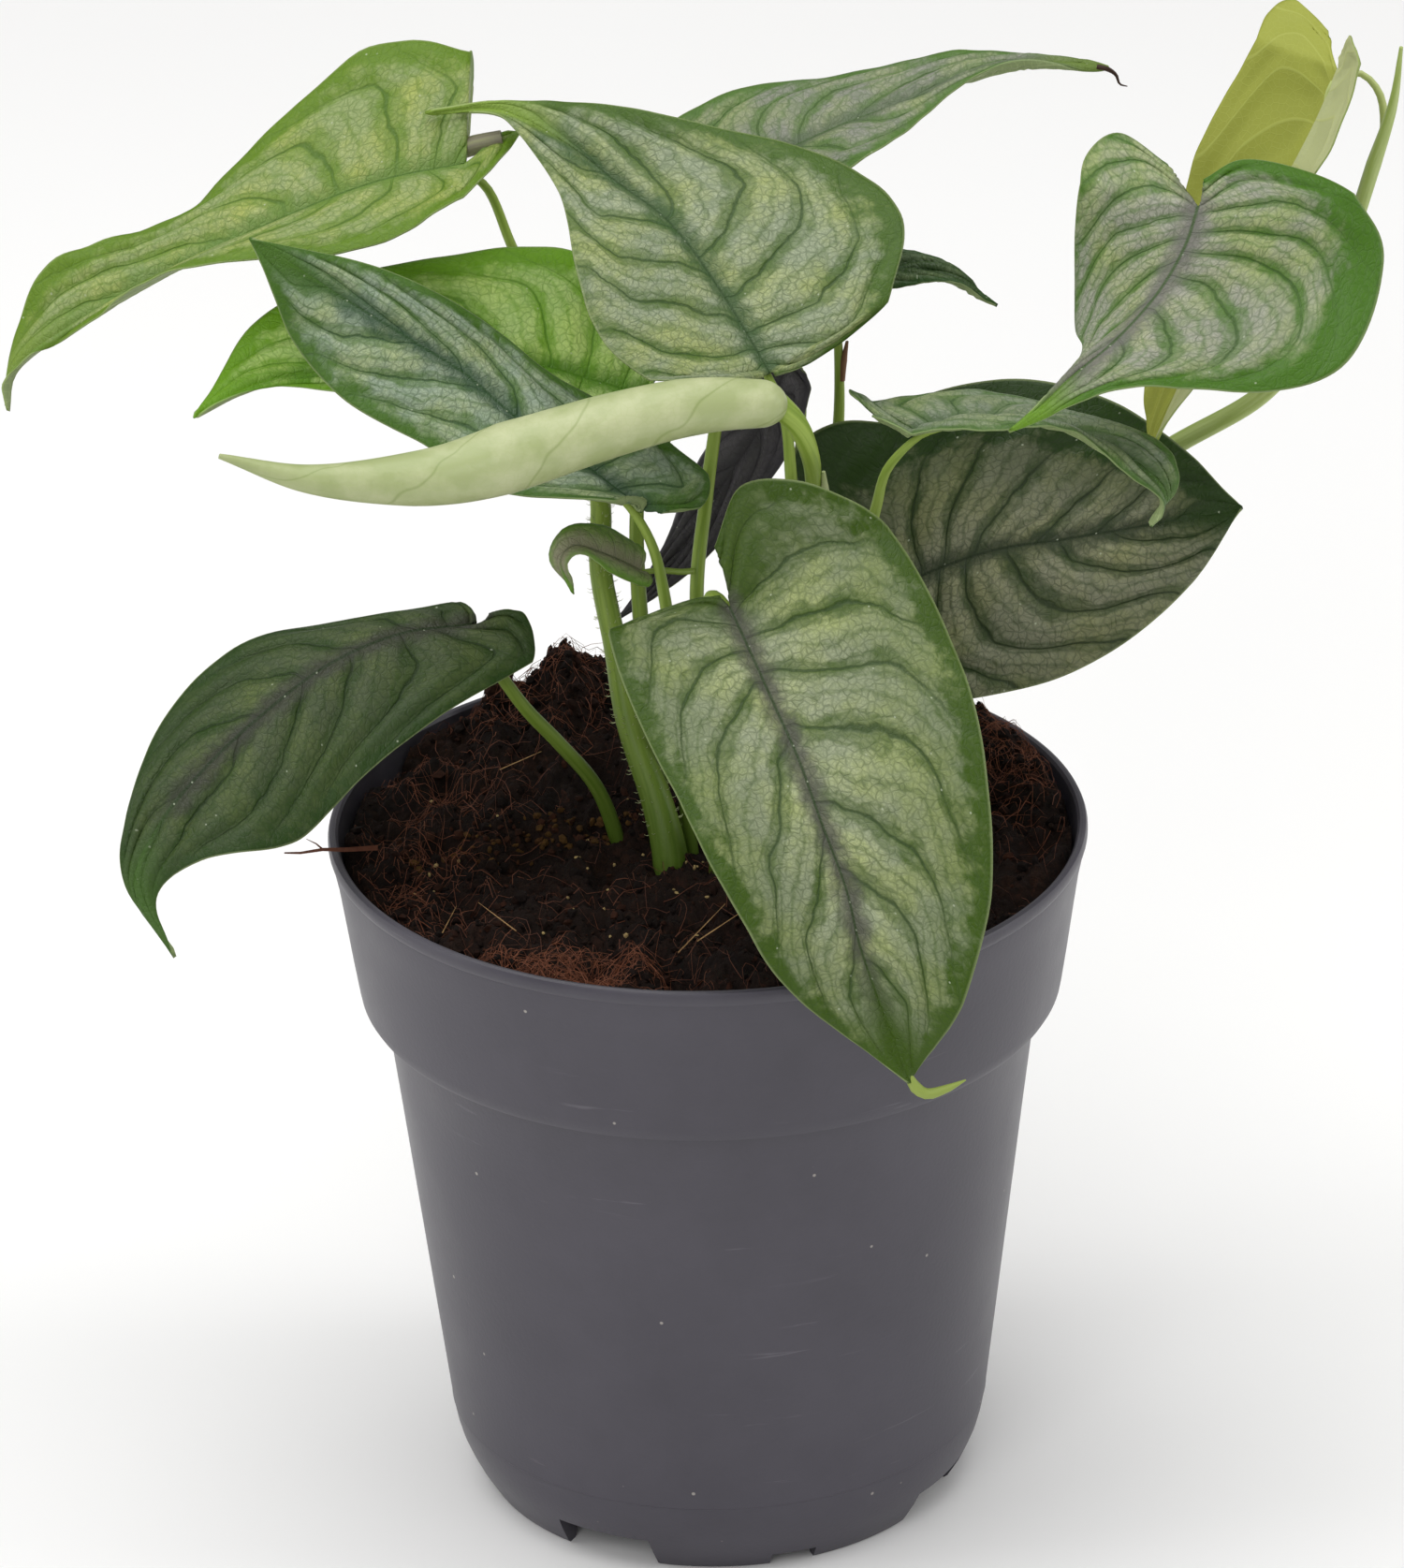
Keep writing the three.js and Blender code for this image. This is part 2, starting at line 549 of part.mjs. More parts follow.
// The climbing shoot runs up behind the low right leaf and forks into a petiole and a new leaf spike
const shoot = {
  path: [
    [18, 1, 98], [19, 3, 117], [37, 17, 131], [55, 26, 147], [67, 28, 158], [74, 28, 164], [88, 25, 174],
    [94, 23, 182], [99, 22, 193], [103, 19, 209],
  ],
  thick: [2.0, 2.0, 1.9, 1.8, 1.75, 1.7, 1.6, 1.5, 1.4, 1.2],
  spike: [[103, 19, 207], [105, 16, 216], [108, 12, 229], [109, 10, 239]],
  spikeThick: [1.2, 1.2, 0.8, 0.3],
}

function shootShape(grow = 0) {
  const vine = stalk(shoot.path, shoot.thick, { grow })
  return vine.add(stalk(shoot.spike, shoot.spikeThick, { grow }))
}

// The youngest leaf of the middle is still rolled up, with a small bract on its petiole
const rolled = {
  stalk: [
    [10, -1, 98], [14, -3, 135], [19, -6, 155], [17.5, -10, 176], [17, -12, 182], [15, -13, 188],
    [11, -14, 193],
  ],
  thick: [1.4, 1.3, 1.2, 1.2, 1.2, 1.3, 2.0],
  roll: [
    [12, -14, 192], [2, -17, 193], [-13, -21, 192], [-27, -25, 189], [-44, -29, 187],
    [-60, -32, 189], [-73, -34, 194],
  ],
  rollThick: [2.6, 3.5, 4.2, 5.0, 3.8, 2.1, 0.4],
  bract: [[18.6, -9.5, 170], [19.2, -10.5, 174], [19, -11, 179]],
  bractThick: [1.0, 0.8, 0.3],
}

function rolledShape(grow = 0) {
  const spiral = { grow, sides: ROLL_SIDES, steps: ROLL_STEPS, lip: ROLL_LIP }
  const roll = stalk(rolled.roll, rolled.rollThick, spiral)
  const bract = stalk(rolled.bract, rolled.bractThick, { grow })
  return stalk(rolled.stalk, rolled.thick, { grow }).add(roll).add(bract)
}

// Every stalk stands in a plain hole in the peat, and the two outer leaves spring from the shoot
let bed = soil().subtract(shootShape(GAP)).subtract(rolledShape(GAP))
const shootRoom = shootShape(GAP)
const parts = []
for (const [name, leaf] of Object.entries(leaves)) {
  let shape = blade(leaf).add(petiole(leaf))
  if (leaf.onShoot) shape = largest(shape.subtract(shootRoom))
  else bed = bed.subtract(petiole(leaf, GAP))
  parts.push([name, shape, leaf.color])
}

add('pot', pot(), 0x55525a, 0.45)
add('soil', largest(bed), 0x2e211b, 0.95)
for (const [name, shape, color] of parts) add(name, shape, color, 0.5)
add('leaf_rolled', rolledShape(), 0xc3cf9b, 0.5)
add('climbing_shoot', shootShape(), 0x8fa765, 0.5)

export default plant
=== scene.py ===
import math
import random

import bpy
import numpy as np
from mathutils import Matrix, Vector, noise


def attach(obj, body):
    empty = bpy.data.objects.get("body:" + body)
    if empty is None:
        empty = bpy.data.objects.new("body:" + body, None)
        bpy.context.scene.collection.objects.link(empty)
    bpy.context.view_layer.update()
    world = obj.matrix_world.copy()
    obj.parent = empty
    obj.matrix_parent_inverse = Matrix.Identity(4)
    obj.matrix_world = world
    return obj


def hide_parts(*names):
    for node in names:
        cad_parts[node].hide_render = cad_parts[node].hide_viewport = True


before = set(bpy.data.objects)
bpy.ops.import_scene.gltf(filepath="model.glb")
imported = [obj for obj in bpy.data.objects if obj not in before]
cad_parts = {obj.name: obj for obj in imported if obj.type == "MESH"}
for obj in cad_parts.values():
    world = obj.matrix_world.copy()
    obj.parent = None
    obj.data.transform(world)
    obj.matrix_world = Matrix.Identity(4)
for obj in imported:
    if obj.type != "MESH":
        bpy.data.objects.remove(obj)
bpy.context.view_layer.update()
MM = 0.001

# Camera: a long lens 1.7 m from the middle of the pot's rim, looking down on the plant at 26 degrees.
# The rim's middle lies a little off the picture's own middle, and the picture leans by one degree.
CAMERA_TARGET = Vector((0, 0, 0.114))
CAMERA_DISTANCE = 1.7
CAMERA_ELEVATION = math.radians(26.1)
CAMERA_ROLL = math.radians(1.18)
IMAGE_WIDTH, IMAGE_HEIGHT = 1500, 1675
TARGET_PIXEL = (756, 877)
FOCAL_PIXELS = 11503
SENSOR_MM = 36

look = Vector((0, math.cos(CAMERA_ELEVATION), -math.sin(CAMERA_ELEVATION)))
level = Vector((1, 0, 0))
above = level.cross(look)
right = level * math.cos(CAMERA_ROLL) - above * math.sin(CAMERA_ROLL)
above = level * math.sin(CAMERA_ROLL) + above * math.cos(CAMERA_ROLL)
aside = (TARGET_PIXEL[0] - IMAGE_WIDTH / 2) / FOCAL_PIXELS
below = (TARGET_PIXEL[1] - IMAGE_HEIGHT / 2) / FOCAL_PIXELS
forward = (look - right * aside + above * below).normalized()
right = (right - forward * right.dot(forward)).normalized()
above = right.cross(forward)
camera = bpy.data.objects.new("camera", bpy.data.cameras.new("camera"))
bpy.context.scene.collection.objects.link(camera)
turn = Matrix((right, above, -forward)).transposed().to_4x4()
camera.matrix_world = Matrix.Translation(CAMERA_TARGET - look * CAMERA_DISTANCE) @ turn
camera.data.sensor_width = SENSOR_MM
camera.data.lens = SENSOR_MM * FOCAL_PIXELS / IMAGE_HEIGHT
camera.data.clip_start = 0.1
camera.data.clip_end = 20
bpy.context.scene.camera = camera


# Floor and light: a matt white studio floor, a broad softbox overhead, a narrow one on each side and
# one in front, with an even white surround. The boxes stand clear of the plant on all sides.
def shade(code):
    """A linear colour from an sRGB hex code."""
    parts = [int(code[i:i + 2], 16) / 255 for i in (1, 3, 5)]
    return [c / 12.92 if c <= 0.04045 else ((c + 0.055) / 1.055) ** 2.4 for c in parts] + [1.0]


def add(tree, kind, links={}, out=0, **settings):
    """Adds a shader node with its settings, values and links, and gives back one of its outputs."""
    made = tree.nodes.new("ShaderNode" + kind)
    for name, value in settings.items():
        setattr(made, name, value)
    for place, value in links.items():
        if isinstance(value, bpy.types.NodeSocket):
            tree.links.new(value, made.inputs[place])
        else:
            made.inputs[place].default_value = value
    return made.outputs[out] if made.outputs else made


# Sockets are given by number: a MapRange takes its value at 0, its old range at 1 and 2 and its new one
# at 3 and 4, and a Mix takes its share at 0 and its colours at 6 and 7. BLEND makes a Mix work on colours
# and give them back, and SOFT eases both ends of a range. TexCoord gives Object coordinates at 3.
BLEND = {"out": 2, "data_type": "RGBA"}
SOFT = {"interpolation_type": "SMOOTHSTEP"}


def new_material(name):
    """An empty node material and its tree."""
    made = bpy.data.materials.new(name)
    made.use_nodes = True
    made.node_tree.nodes.clear()
    return made, made.node_tree


# Painted board, matt white
FLOOR_SIZE = 12
SURROUND = 0.36
floor_paint, tree = new_material("matt_white_board")
grain = add(tree, "TexNoise", {"Scale": 40, "Detail": 4})
tone = add(tree, "Mix", {0: grain, 6: shade("#F4F3F2"), 7: shade("#F8F8F7")}, **BLEND)
surface = add(tree, "BsdfPrincipled", {"Base Color": tone, "Roughness": 0.9})
add(tree, "OutputMaterial", {"Surface": surface})
bpy.ops.object.select_all(action="DESELECT")
bpy.ops.mesh.primitive_plane_add(size=FLOOR_SIZE)
floor = bpy.context.active_object
floor.name = "floor"
floor.data.materials.append(floor_paint)

# Each softbox by its place and size in metres and its power in watts
SOFTBOXES = [
    ("overhead", (-0.15, 0.0, 1.55), (1.5, 1.5), 17.5),
    ("left_side", (-1.3, -0.2, 0.7), (0.5, 1.3), 4.5),
    ("right_side", (1.3, -0.1, 0.7), (0.5, 1.3), 6),
    ("front", (-0.5, -1.8, 1.2), (1.2, 1.0), 12),
]
for name, place, size, watts in SOFTBOXES:
    light = bpy.data.lights.new(name, "AREA")
    light.shape = "RECTANGLE"
    light.size, light.size_y = size
    light.energy = watts
    lamp = bpy.data.objects.new(name, light)
    lamp.location = place
    lamp.rotation_euler = (CAMERA_TARGET - Vector(place)).to_track_quat("-Z", "Y").to_euler()
    bpy.context.scene.collection.objects.link(lamp)
world = bpy.data.worlds.new("surround")
world.use_nodes = True
world.node_tree.nodes["Background"].inputs["Color"].default_value = shade("#FFFFFF")
world.node_tree.nodes["Background"].inputs["Strength"].default_value = SURROUND
bpy.context.scene.world = world
bpy.context.scene.view_settings.view_transform = "Standard"

# Pot: a thin-walled nursery pot 12 cm across, moulded in one piece from slate grey polypropylene, with
# a wide rim band, a tapered body, a ring foot with notches, and a floor with drain holes.
POT_HEIGHT = 114
RIM_RADIUS = 60
BAND_LOW = 86
BAND_LOW_RADIUS = 55.8
BODY_TOP_RADIUS = 52
BODY_LOW = 13
BODY_LOW_RADIUS = 43.1
FOOT_RADIUS = 38
FOOT_WIDTH = 2.5
WALL = 1.3
FLOOR_THICK = 2
UNDERSIDE = 6.5
CENTRE_DISC = 22
RIM_ROLL = 7
MOULD_LINE = 13.8
NOTCH_TURN = -28
NOTCH_REACH = 10
NOTCH_INSET = 4
DRAINS = 8
DRAIN_CIRCLE = 28
DRAIN_RADIUS = 3
DRAIN_DEPTH = 8
POT_SIDES = 160
# Each kind of notch by the degrees it spans, its height and its turn from the first kind
NOTCHES = [(24, 6, 0), (11, 2.5, 45)]


def start(kind, **sizes):
    """Adds a primitive with nothing else selected and gives it back."""
    bpy.ops.object.select_all(action="DESELECT")
    getattr(bpy.ops.mesh, f"primitive_{kind}_add")(**sizes)
    return bpy.context.active_object


def pick(*pieces):
    """Selects these pieces and nothing else, and makes the first one active."""
    bpy.ops.object.select_all(action="DESELECT")
    for piece in pieces:
        piece.select_set(True)
    bpy.context.view_layer.objects.active = pieces[0]


def join(pieces):
    """Joins pieces into the first one."""
    pick(*pieces)
    bpy.ops.object.join()
    return bpy.context.active_object


def apply_all(piece):
    """Applies a piece's modifiers from the first to the last."""
    pick(piece)
    for name in [m.name for m in piece.modifiers]:
        bpy.ops.object.modifier_apply(modifier=name)


def settle(piece, name, slot, *nodes):
    """Names a finished piece, puts it on the body and lets it stand for its CAD nodes."""
    piece.name = piece.data.name = name
    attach(piece, "root")
    if nodes:
        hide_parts(*nodes)


def turned(profile, sides):
    """A ring extruded through a profile of radius and height in millimetres, and closed on the axis."""
    (radius, height), *rest = profile
    piece = start("circle", vertices=sides, radius=radius * MM, location=(0, 0, height * MM))
    bpy.ops.object.transform_apply(location=True, rotation=True, scale=True)
    bpy.ops.object.mode_set(mode="EDIT")
    bpy.ops.mesh.select_all(action="SELECT")
    bpy.ops.mesh.extrude_region_move()
    bpy.ops.mesh.merge(type="CENTER")
    bpy.ops.mesh.select_all(action="DESELECT")
    bpy.ops.mesh.select_non_manifold(extend=False)
    for wide, high in rest:
        share = wide / radius
        bpy.ops.mesh.extrude_region_move()
        bpy.ops.transform.resize(value=(share, share, 1), center_override=(0, 0, height * MM))
        bpy.ops.transform.translate(value=(0, 0, (high - height) * MM))
        radius, height = wide, high
    bpy.ops.mesh.extrude_region_move()
    bpy.ops.mesh.merge(type="CENTER")
    bpy.ops.mesh.select_all(action="SELECT")
    bpy.ops.mesh.remove_doubles(threshold=1e-6)
    bpy.ops.mesh.normals_make_consistent(inside=False)
    bpy.ops.object.mode_set(mode="OBJECT")
    return piece


pot_profile = [
    (CENTRE_DISC, 0), (CENTRE_DISC + 0.8, 0.5), (CENTRE_DISC + 1, UNDERSIDE),
    (FOOT_RADIUS - FOOT_WIDTH - 0.5, UNDERSIDE), (FOOT_RADIUS - FOOT_WIDTH, 0.3),
    (FOOT_RADIUS - FOOT_WIDTH + 0.4, 0), (FOOT_RADIUS - 0.6, 0), (FOOT_RADIUS, 0.5),
    (FOOT_RADIUS + 0.9, 2), (FOOT_RADIUS + 1.9, 3.7), (FOOT_RADIUS + 3.1, 6.2),
    (BODY_LOW_RADIUS - 1.1, 8.4), (BODY_LOW_RADIUS - 0.5, 10.6), (BODY_LOW_RADIUS - 0.05, BODY_LOW),
    (BODY_LOW_RADIUS, MOULD_LINE - 0.15), (BODY_LOW_RADIUS + 0.14, MOULD_LINE),
    (BODY_LOW_RADIUS + 0.12, MOULD_LINE + 0.3), (BODY_LOW_RADIUS + 2.2, 31),
    (BODY_LOW_RADIUS + 4.4, 49), (BODY_LOW_RADIUS + 6.6, 67), (BODY_TOP_RADIUS - 0.1, BAND_LOW - 1.6),
    (BODY_TOP_RADIUS + 0.2, BAND_LOW - 0.9), (BODY_TOP_RADIUS + 1, BAND_LOW - 0.6),
    (BAND_LOW_RADIUS - 1.7, BAND_LOW - 0.4), (BAND_LOW_RADIUS - 0.7, BAND_LOW),
    (BAND_LOW_RADIUS - 0.15, BAND_LOW + 0.9), (BAND_LOW_RADIUS + 0.1, BAND_LOW + 2.2),
    (BAND_LOW_RADIUS + 1, 94), (BAND_LOW_RADIUS + 2, 101), (RIM_RADIUS - WALL, POT_HEIGHT - RIM_ROLL),
    (RIM_RADIUS - 0.5, 110.8), (RIM_RADIUS - 0.45, 111.5), (RIM_RADIUS - 0.15, 111.9),
    (RIM_RADIUS, 112.4), (RIM_RADIUS, 113.2), (RIM_RADIUS - 0.25, 113.8), (RIM_RADIUS - 0.7, POT_HEIGHT),
    (RIM_RADIUS - 1.2, 113.9), (RIM_RADIUS - 1.6, 113.4), (RIM_RADIUS - 1.9, 111.5),
    (RIM_RADIUS - 2 * WALL, POT_HEIGHT - RIM_ROLL), (BAND_LOW_RADIUS - WALL, BAND_LOW + 3),
    (BODY_TOP_RADIUS - WALL, BAND_LOW), (BODY_LOW_RADIUS - WALL, BODY_LOW + 1),
    (BODY_LOW_RADIUS - WALL - 1.5, UNDERSIDE + WALL), (CENTRE_DISC, UNDERSIDE + WALL),
    (CENTRE_DISC - 1.5, FLOOR_THICK),
]
pot = turned(pot_profile, POT_SIDES)
cutters = []
for angle, height, shift in NOTCHES:
    wide = 2 * FOOT_RADIUS * math.tan(math.radians(angle / 2))
    out = FOOT_RADIUS + NOTCH_REACH / 2 - NOTCH_INSET
    for quarter in range(4):
        around = math.radians(NOTCH_TURN + shift + 90 * quarter)
        cutter = start("cube", size=1)
        cutter.scale = (wide * MM, NOTCH_REACH * MM, (height + 2) * MM)
        cutter.rotation_euler.z = around
        cutter.location = (out * math.sin(around) * MM, -out * math.cos(around) * MM, (height / 2 - 1) * MM)
        cutters.append(cutter)
for k in range(DRAINS):
    around = math.radians(NOTCH_TURN + 360 / DRAINS * k)
    place = (DRAIN_CIRCLE * math.sin(around) * MM, -DRAIN_CIRCLE * math.cos(around) * MM, UNDERSIDE * MM)
    drain = {"radius": DRAIN_RADIUS * MM, "depth": DRAIN_DEPTH * MM, "location": place}
    cutters.append(start("cylinder", vertices=24, **drain))
cutter = join(cutters)
cut = pot.modifiers.new("cut", "BOOLEAN")
cut.object, cut.solver, cut.use_self = cutter, "EXACT", True
apply_all(pot)
bpy.data.objects.remove(cutter)
bpy.ops.object.shade_smooth_by_angle(angle=math.radians(28))


def coat(tree, colour, rough, relief, strength, depth, more={}):
    """Closes a material with its colour, its roughness and a fine relief, its depth in millimetres."""
    dent = add(tree, "Bump", {"Height": relief, "Strength": strength, "Distance": depth * MM})
    surface = add(tree, "BsdfPrincipled", {"Base Color": colour, "Roughness": rough, "Normal": dent, **more})
    add(tree, "OutputMaterial", {"Surface": surface})


# Recycled polypropylene, injection moulded: satin, slate grey with a violet cast, faintly mottled,
# with fine scuffs drawn round it by handling, and chalky lime splashes, most of them near the foot.
FLECK_MM = 2.2
PLASTIC_IOR = 1.49
pot_plastic, tree = new_material("moulded_polypropylene")
spot = add(tree, "TexCoord", out=3)
height = add(tree, "SeparateXYZ", {0: spot}, 2)
cloud = add(tree, "TexNoise", {"Vector": spot, "Scale": 30, "Detail": 6, "Roughness": 0.65})
cloud = add(tree, "MapRange", {0: cloud, 1: 0.35, 2: 0.65})
grey = add(tree, "Mix", {0: cloud, 6: shade("#39363F"), 7: shade("#423F48")}, **BLEND)
scuff = add(tree, "Mapping", {"Vector": spot, "Rotation": (0.25, 0.1, 0.2), "Scale": (60, 60, 900)})
scuff = add(tree, "TexNoise", {"Vector": scuff, "Scale": 1, "Detail": 3, "Distortion": 0.4})
scuff = add(tree, "MapRange", {0: scuff, 1: 0.67, 2: 0.73})
worn = add(tree, "TexNoise", {"Vector": spot, "Scale": 24, "Detail": 2})
worn = add(tree, "MapRange", {0: worn, 1: 0.52, 2: 0.64, 3: 0, 4: 0.22})
scuff = add(tree, "Math", {0: scuff, 1: worn}, operation="MULTIPLY")
grey = add(tree, "Mix", {0: scuff, 6: grey, 7: shade("#8B878E")}, **BLEND)
grain = add(tree, "TexVoronoi", {"Vector": spot, "Scale": 1000 / FLECK_MM})
fleck = add(tree, "MapRange", {0: grain, 1: 0.1, 2: 0.16, 3: 1, 4: 0})
sieve = add(tree, "TexVoronoi", {"Vector": spot, "Scale": 1000 / FLECK_MM}, 1)
sieve = add(tree, "SeparateXYZ", {0: sieve})
foot_zone = add(tree, "MapRange", {0: height, 1: 0.022, 2: 0.002, 3: 0, 4: 0.12})
limit = add(tree, "Math", {0: 0.985, 1: foot_zone}, operation="SUBTRACT")
chosen = add(tree, "Math", {0: sieve, 1: limit}, operation="GREATER_THAN")
fleck = add(tree, "Math", {0: fleck, 1: chosen}, operation="MULTIPLY")
grey = add(tree, "Mix", {0: fleck, 6: grey, 7: shade("#948E88")}, **BLEND)
satin = add(tree, "MapRange", {0: cloud, 1: 0, 2: 1, 3: 0.36, 4: 0.46})
fine = add(tree, "TexNoise", {"Vector": spot, "Scale": 1400, "Detail": 3})
coat(tree, grey, satin, fine, 0.15, 0.2, {"IOR": PLASTIC_IOR})
pot.data.materials.append(pot_plastic)
settle(pot, "nursery_pot", "pot_plastic", "pot")

# Peat: the bed of dark potting peat, filled in loose and heaped towards the back, where it stands above
# the rim. Its top is clods, crumbs and hollows, and it goes down inside the pot to the floor.
SOIL_LEVEL = 110.5
BED_RADIUS = 57.4
BED_GRID = 290
BED_EDGE, BED_EDGE_DROP = 2.5, 1.5
# The grain of the peat: how often each kind comes per millimetre, and how high it stands
LUMP_RATE, LUMP_HEIGHT = 0.15, 2.1
LEDGE_RATE, LEDGE_DROP = 0.09, -5.5
PIT_RATE, PIT_DEPTH, PIT_LEVEL = 0.42, 1.3, 0.35
GRIT_RATE, GRIT_HEIGHT = 1.4, 0.6
DUST_RATE, DUST_HEIGHT = 3.1, 0.3
GRAIN_LIFT = 1.3


def mound(x, y, cx, cy, wide, deep):
    """A round hill of height one."""
    return np.exp(-((x - cx) / wide) ** 2 - ((y - cy) / deep) ** 2)


def soil_height(x, y):
    """Height of the peat in millimetres: heaped at the back, with clods and a ridge on the left."""
    back = np.clip((y + 10) / 55, 0, 1)
    back = back * back * (3 - 2 * back)
    clods = 1.1 * np.sin(x * 0.31 + 1.3) * np.cos(y * 0.27 - x * 0.11)
    crumbs = 0.7 * np.sin(x * 0.83 + y * 0.41) * np.sin(y * 0.77 - 0.6)
    heap = 5 * back * np.exp(-((x + 22) / 28) ** 2) + 6 * mound(x, y, -20, 50, 15, 12)
    right_heap = 5 * back * np.exp(-((x - 50) / 18) ** 2) + 2 * mound(x, y, 50, 24, 10, 14)
    ridge = 3 * np.exp(-((y - 2 - 0.25 * (x + 25)) / 6) ** 2 - ((x + 28) / 22) ** 2)
    return SOIL_LEVEL + heap + right_heap + ridge + clods + crumbs


def crumble(x, y):
    """The loose grain of the peat on top of its form, in millimetres."""
    spot = Vector((x, y, 0))
    lumps = noise.fractal(spot * LUMP_RATE, 0.85, 2.1, 5) * LUMP_HEIGHT
    ledges = abs(noise.noise(spot * LEDGE_RATE + Vector((7, 3, 1)))) * LEDGE_DROP
    pits = PIT_DEPTH * (PIT_LEVEL - noise.voronoi(spot * PIT_RATE)[0][0])
    grit = GRIT_HEIGHT * noise.noise(spot * GRIT_RATE)
    return lumps + ledges + GRAIN_LIFT + pits + grit + DUST_HEIGHT * noise.noise(spot * DUST_RATE)


bed = start("grid", x_subdivisions=BED_GRID, y_subdivisions=BED_GRID, size=2)
flat = np.array([v.co for v in bed.data.vertices])
a, b = flat[:, 0], flat[:, 1]
x, y = BED_RADIUS * a * np.sqrt(1 - b * b / 2), BED_RADIUS * b * np.sqrt(1 - a * a / 2)
edge = np.clip((np.hypot(x, y) - BED_RADIUS + BED_EDGE) / BED_EDGE, 0, 1)
grain = np.array([crumble(p, q) for p, q in zip(x, y)])
z = soil_height(x, y) + grain - BED_EDGE_DROP * edge ** 2
bed.data.vertices.foreach_set("co", (np.column_stack([x, y, z]) * MM).ravel())
bpy.ops.object.mode_set(mode="EDIT")
bpy.ops.mesh.select_all(action="DESELECT")
bpy.ops.mesh.select_non_manifold(extend=False)
bpy.ops.mesh.extrude_region_move()
bpy.ops.transform.resize(value=(1, 1, 0), center_override=(0, 0, (POT_HEIGHT - RIM_ROLL) * MM))
bed_walls = [
    (56.8, BAND_LOW + 20), (54.1, BAND_LOW + 3), (50.3, BAND_LOW), (41.4, BODY_LOW + 1), (40, 8.2),
]
was, high = BED_RADIUS, POT_HEIGHT - RIM_ROLL
for wide, low in bed_walls:
    bpy.ops.mesh.extrude_region_move()
    bpy.ops.transform.resize(value=(wide / was, wide / was, 1), center_override=(0, 0, 0))
    bpy.ops.transform.translate(value=(0, 0, (low - high) * MM))
    was, high = wide, low
bpy.ops.mesh.edge_face_add()
bpy.ops.mesh.select_all(action="SELECT")
bpy.ops.mesh.normals_make_consistent(inside=False)
bpy.ops.object.mode_set(mode="OBJECT")
bpy.ops.object.shade_smooth()

# Sphagnum peat: nearly black where it is moist, brown where it has dried, in crumbs of a millimetre
CRUMB_MM = 1.2
peat, tree = new_material("moist_peat")
spot = add(tree, "TexCoord", out=3)
damp = add(tree, "TexNoise", {"Vector": spot, "Scale": 70, "Detail": 6, "Roughness": 0.65})
damp = add(tree, "MapRange", {0: damp, 1: 0.38, 2: 0.66})
brown = add(tree, "Mix", {0: damp, 6: shade("#0E0908"), 7: shade("#2F1C13")}, **BLEND)
bits = add(tree, "TexVoronoi", {"Vector": spot, "Scale": 1000 / CRUMB_MM}, 1)
bits = add(tree, "SeparateXYZ", {0: bits})
brown = add(tree, "Mix", {0: bits, 6: brown, 7: shade("#1A100C")}, **BLEND)
strand = add(tree, "Mapping", {"Vector": spot, "Rotation": (0.3, 0.2, 0.8), "Scale": (1, 0.14, 1)})
strand = add(tree, "TexNoise", {"Vector": strand, "Scale": 900, "Detail": 3, "Distortion": 1.2})
strand = add(tree, "MapRange", {0: strand, 1: 0.6, 2: 0.7, 3: 0, 4: 0.6})
brown = add(tree, "Mix", {0: strand, 6: brown, 7: shade("#40251A")}, **BLEND)
rough = add(tree, "TexNoise", {"Vector": spot, "Scale": 1000, "Detail": 5, "Roughness": 0.7})
coat(tree, brown, 0.92, rough, 0.9, 1.2, {"Specular IOR Level": 0.2})
bed.data.materials.append(peat)
settle(bed, "peat_bed", "peat", "soil")

# Loose crumbs of peat: lumps from half a millimetre to three, lying on the bed, with more of them on
# the heaps and on the ridge at the left, where moss grows on them. A few are grains of pale sand.
CRUMBS = 3600
CRUMB_LEAST, CRUMB_SPAN = 0.18, 0.95
MOSS_CRUMBS = 150
SAND_GRAINS = 70
MOSS_START, MOSS_RUN = (-47, -9), (38, 14)
SAND_TONE = 0.95
REACH = 56.3
chance = random.Random(7)


def on_bed(x, y):
    """Height of the peat's surface in millimetres."""
    return float(soil_height(x, y)) + crumble(x, y)


def scattered(count, centre, spread):
    """Random places on the bed, even or gathered about a centre."""
    spots = []
    while len(spots) < count:
        x, y = (chance.gauss(c, w) for c, w in zip(centre, spread)) if spread else (
            chance.uniform(-REACH, REACH), chance.uniform(-REACH, REACH))
        if math.hypot(x, y) < REACH:
            spots.append((x, y))
    return spots


def uv_layer(mesh, name, values):
    """Writes one value pair for each face corner into a UV map."""
    layer = mesh.uv_layers.get(name) or mesh.uv_layers.new(name=name)
    layer.data.foreach_set("uv", np.asarray(values, float).ravel())


def bulk(name, points, faces, tones):
    """One mesh of many small parts, with each face corner's tone in the map that its material reads."""
    mesh = bpy.data.meshes.new(name)
    mesh.from_pydata(points * MM, [], faces)
    piece = bpy.data.objects.new(name, mesh)
    bpy.context.scene.collection.objects.link(piece)
    uv_layer(mesh, "tone", np.column_stack([tones, tones]))
    return piece


